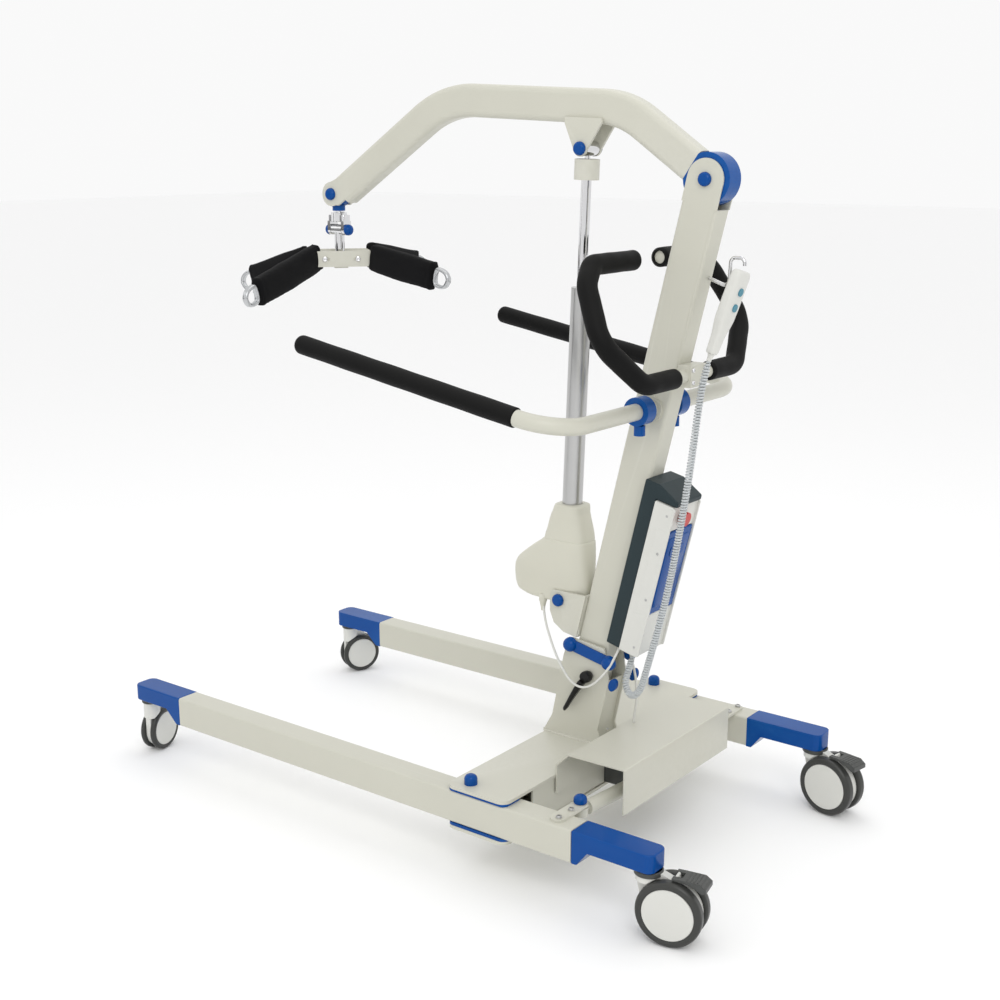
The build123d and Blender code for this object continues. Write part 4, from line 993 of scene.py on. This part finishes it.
# the coil keeps its pitch along the line and closes to straight wire at both ends
fade = np.clip(np.minimum(walked, lineLength - walked) / 0.03, 0, 1)
phase = 2 * np.pi * walked / handsetCord["pitch"]
coil = line + (fade * handsetCord["coilRadius"])[:, None] * (
    np.cos(phase)[:, None] * lineNormal + np.sin(phase)[:, None] * lineAcross)
curly = carried("handsetCurlyCord", coil, circleSection(handsetCord["wire"], 6))
dress(curly, "milkyCoil", "base", ["handset_cord"])
print("stage: curly cord", round(float(lineLength), 3))

# ---- floor, lights and camera
studio = {
    "lens": 52.45, "cameraAt": (1.8598, -2.3773, 1.3831), "heading": 127.31, "dip": -13.75, "floorSize": 60.0,
    "keyEnergy": 46.0, "fillEnergy": 8.0, "topEnergy": 14.0, "worldStrength": 0.95,
}
floorMesh = bpy.data.meshes.new("studioFloor")
half = studio["floorSize"] / 2
floorMesh.from_pydata([(-half, -half, 0), (half, -half, 0), (half, half, 0), (-half, half, 0)], [], [(0, 1, 2, 3)])
floor = linkObject("studioFloor", floorMesh)
floorMaterial = bpy.data.materials.new("studioWhite")
floorMaterial.use_nodes = True
floorMaterial.node_tree.nodes["Principled BSDF"].inputs["Base Color"].default_value = (0.97, 0.97, 0.97, 1)
floorMaterial.node_tree.nodes["Principled BSDF"].inputs["Roughness"].default_value = 0.8
floorMesh.materials.append(floorMaterial)

world = bpy.data.worlds.new("studioAir")
world.use_nodes = True
world.node_tree.nodes["Background"].inputs[0].default_value = (1, 1, 1, 1)
world.node_tree.nodes["Background"].inputs[1].default_value = studio["worldStrength"]
bpy.context.scene.world = world


def areaLight(name, place, target, size, energy):
    data = bpy.data.lights.new(name, "AREA")
    data.size = size
    data.energy = energy
    lamp = bpy.data.objects.new(name, data)
    lamp.location = place
    lamp.rotation_euler = (Vector(target) - Vector(place)).to_track_quat("-Z", "Y").to_euler()
    bpy.context.scene.collection.objects.link(lamp)


areaLight("keyLight", (2.6, -2.6, 3.4), (0, 0, 0.6), 2.2, studio["keyEnergy"])
areaLight("fillLight", (-2.8, -2.4, 2.2), (0, 0, 0.7), 2.6, studio["fillEnergy"])
areaLight("topLight", (-0.2, 0.8, 3.8), (0, 0, 0.5), 2.4, studio["topEnergy"])

cameraData = bpy.data.cameras.new("studioCamera")
cameraData.lens = studio["lens"]
cameraData.sensor_width = 36.0
camera = bpy.data.objects.new("studioCamera", cameraData)
camera.location = studio["cameraAt"]
heading = math.radians(studio["heading"])
dip = math.radians(studio["dip"])
aim = Vector((math.cos(dip) * math.cos(heading), math.cos(dip) * math.sin(heading), math.sin(dip)))
camera.rotation_euler = aim.to_track_quat("-Z", "Y").to_euler()
bpy.context.scene.collection.objects.link(camera)
bpy.context.scene.camera = camera
bpy.context.scene.view_settings.view_transform = "Standard"
# two dark cards stand out of view and give the metal something to reflect
cards = (("darkCardLeft", (-3.6, -3.4, 1.4), (1.2, 3.0)), ("darkCardRight", (4.3, -1.4, 1.2), (1.1, 3.0)))
for name, place, size in cards:
    cardMesh = bpy.data.meshes.new(name)
    w, h = size[0] / 2, size[1] / 2
    cardMesh.from_pydata([(-w, -h, 0), (w, -h, 0), (w, h, 0), (-w, h, 0)], [], [(0, 1, 2, 3)])
    cardMaterial = bpy.data.materials.new(name)
    cardMaterial.use_nodes = True
    cardMaterial.node_tree.nodes["Principled BSDF"].inputs["Base Color"].default_value = (0.01, 0.01, 0.01, 1)
    cardMesh.materials.append(cardMaterial)
    card = linkObject(name, cardMesh)
    card.location = place
    card.rotation_euler = (Vector((0, 0, 0.9)) - Vector(place)).to_track_quat("Z", "Y").to_euler()
    card.visible_camera = False
    card.visible_shadow = False
print("stage: studio ready")
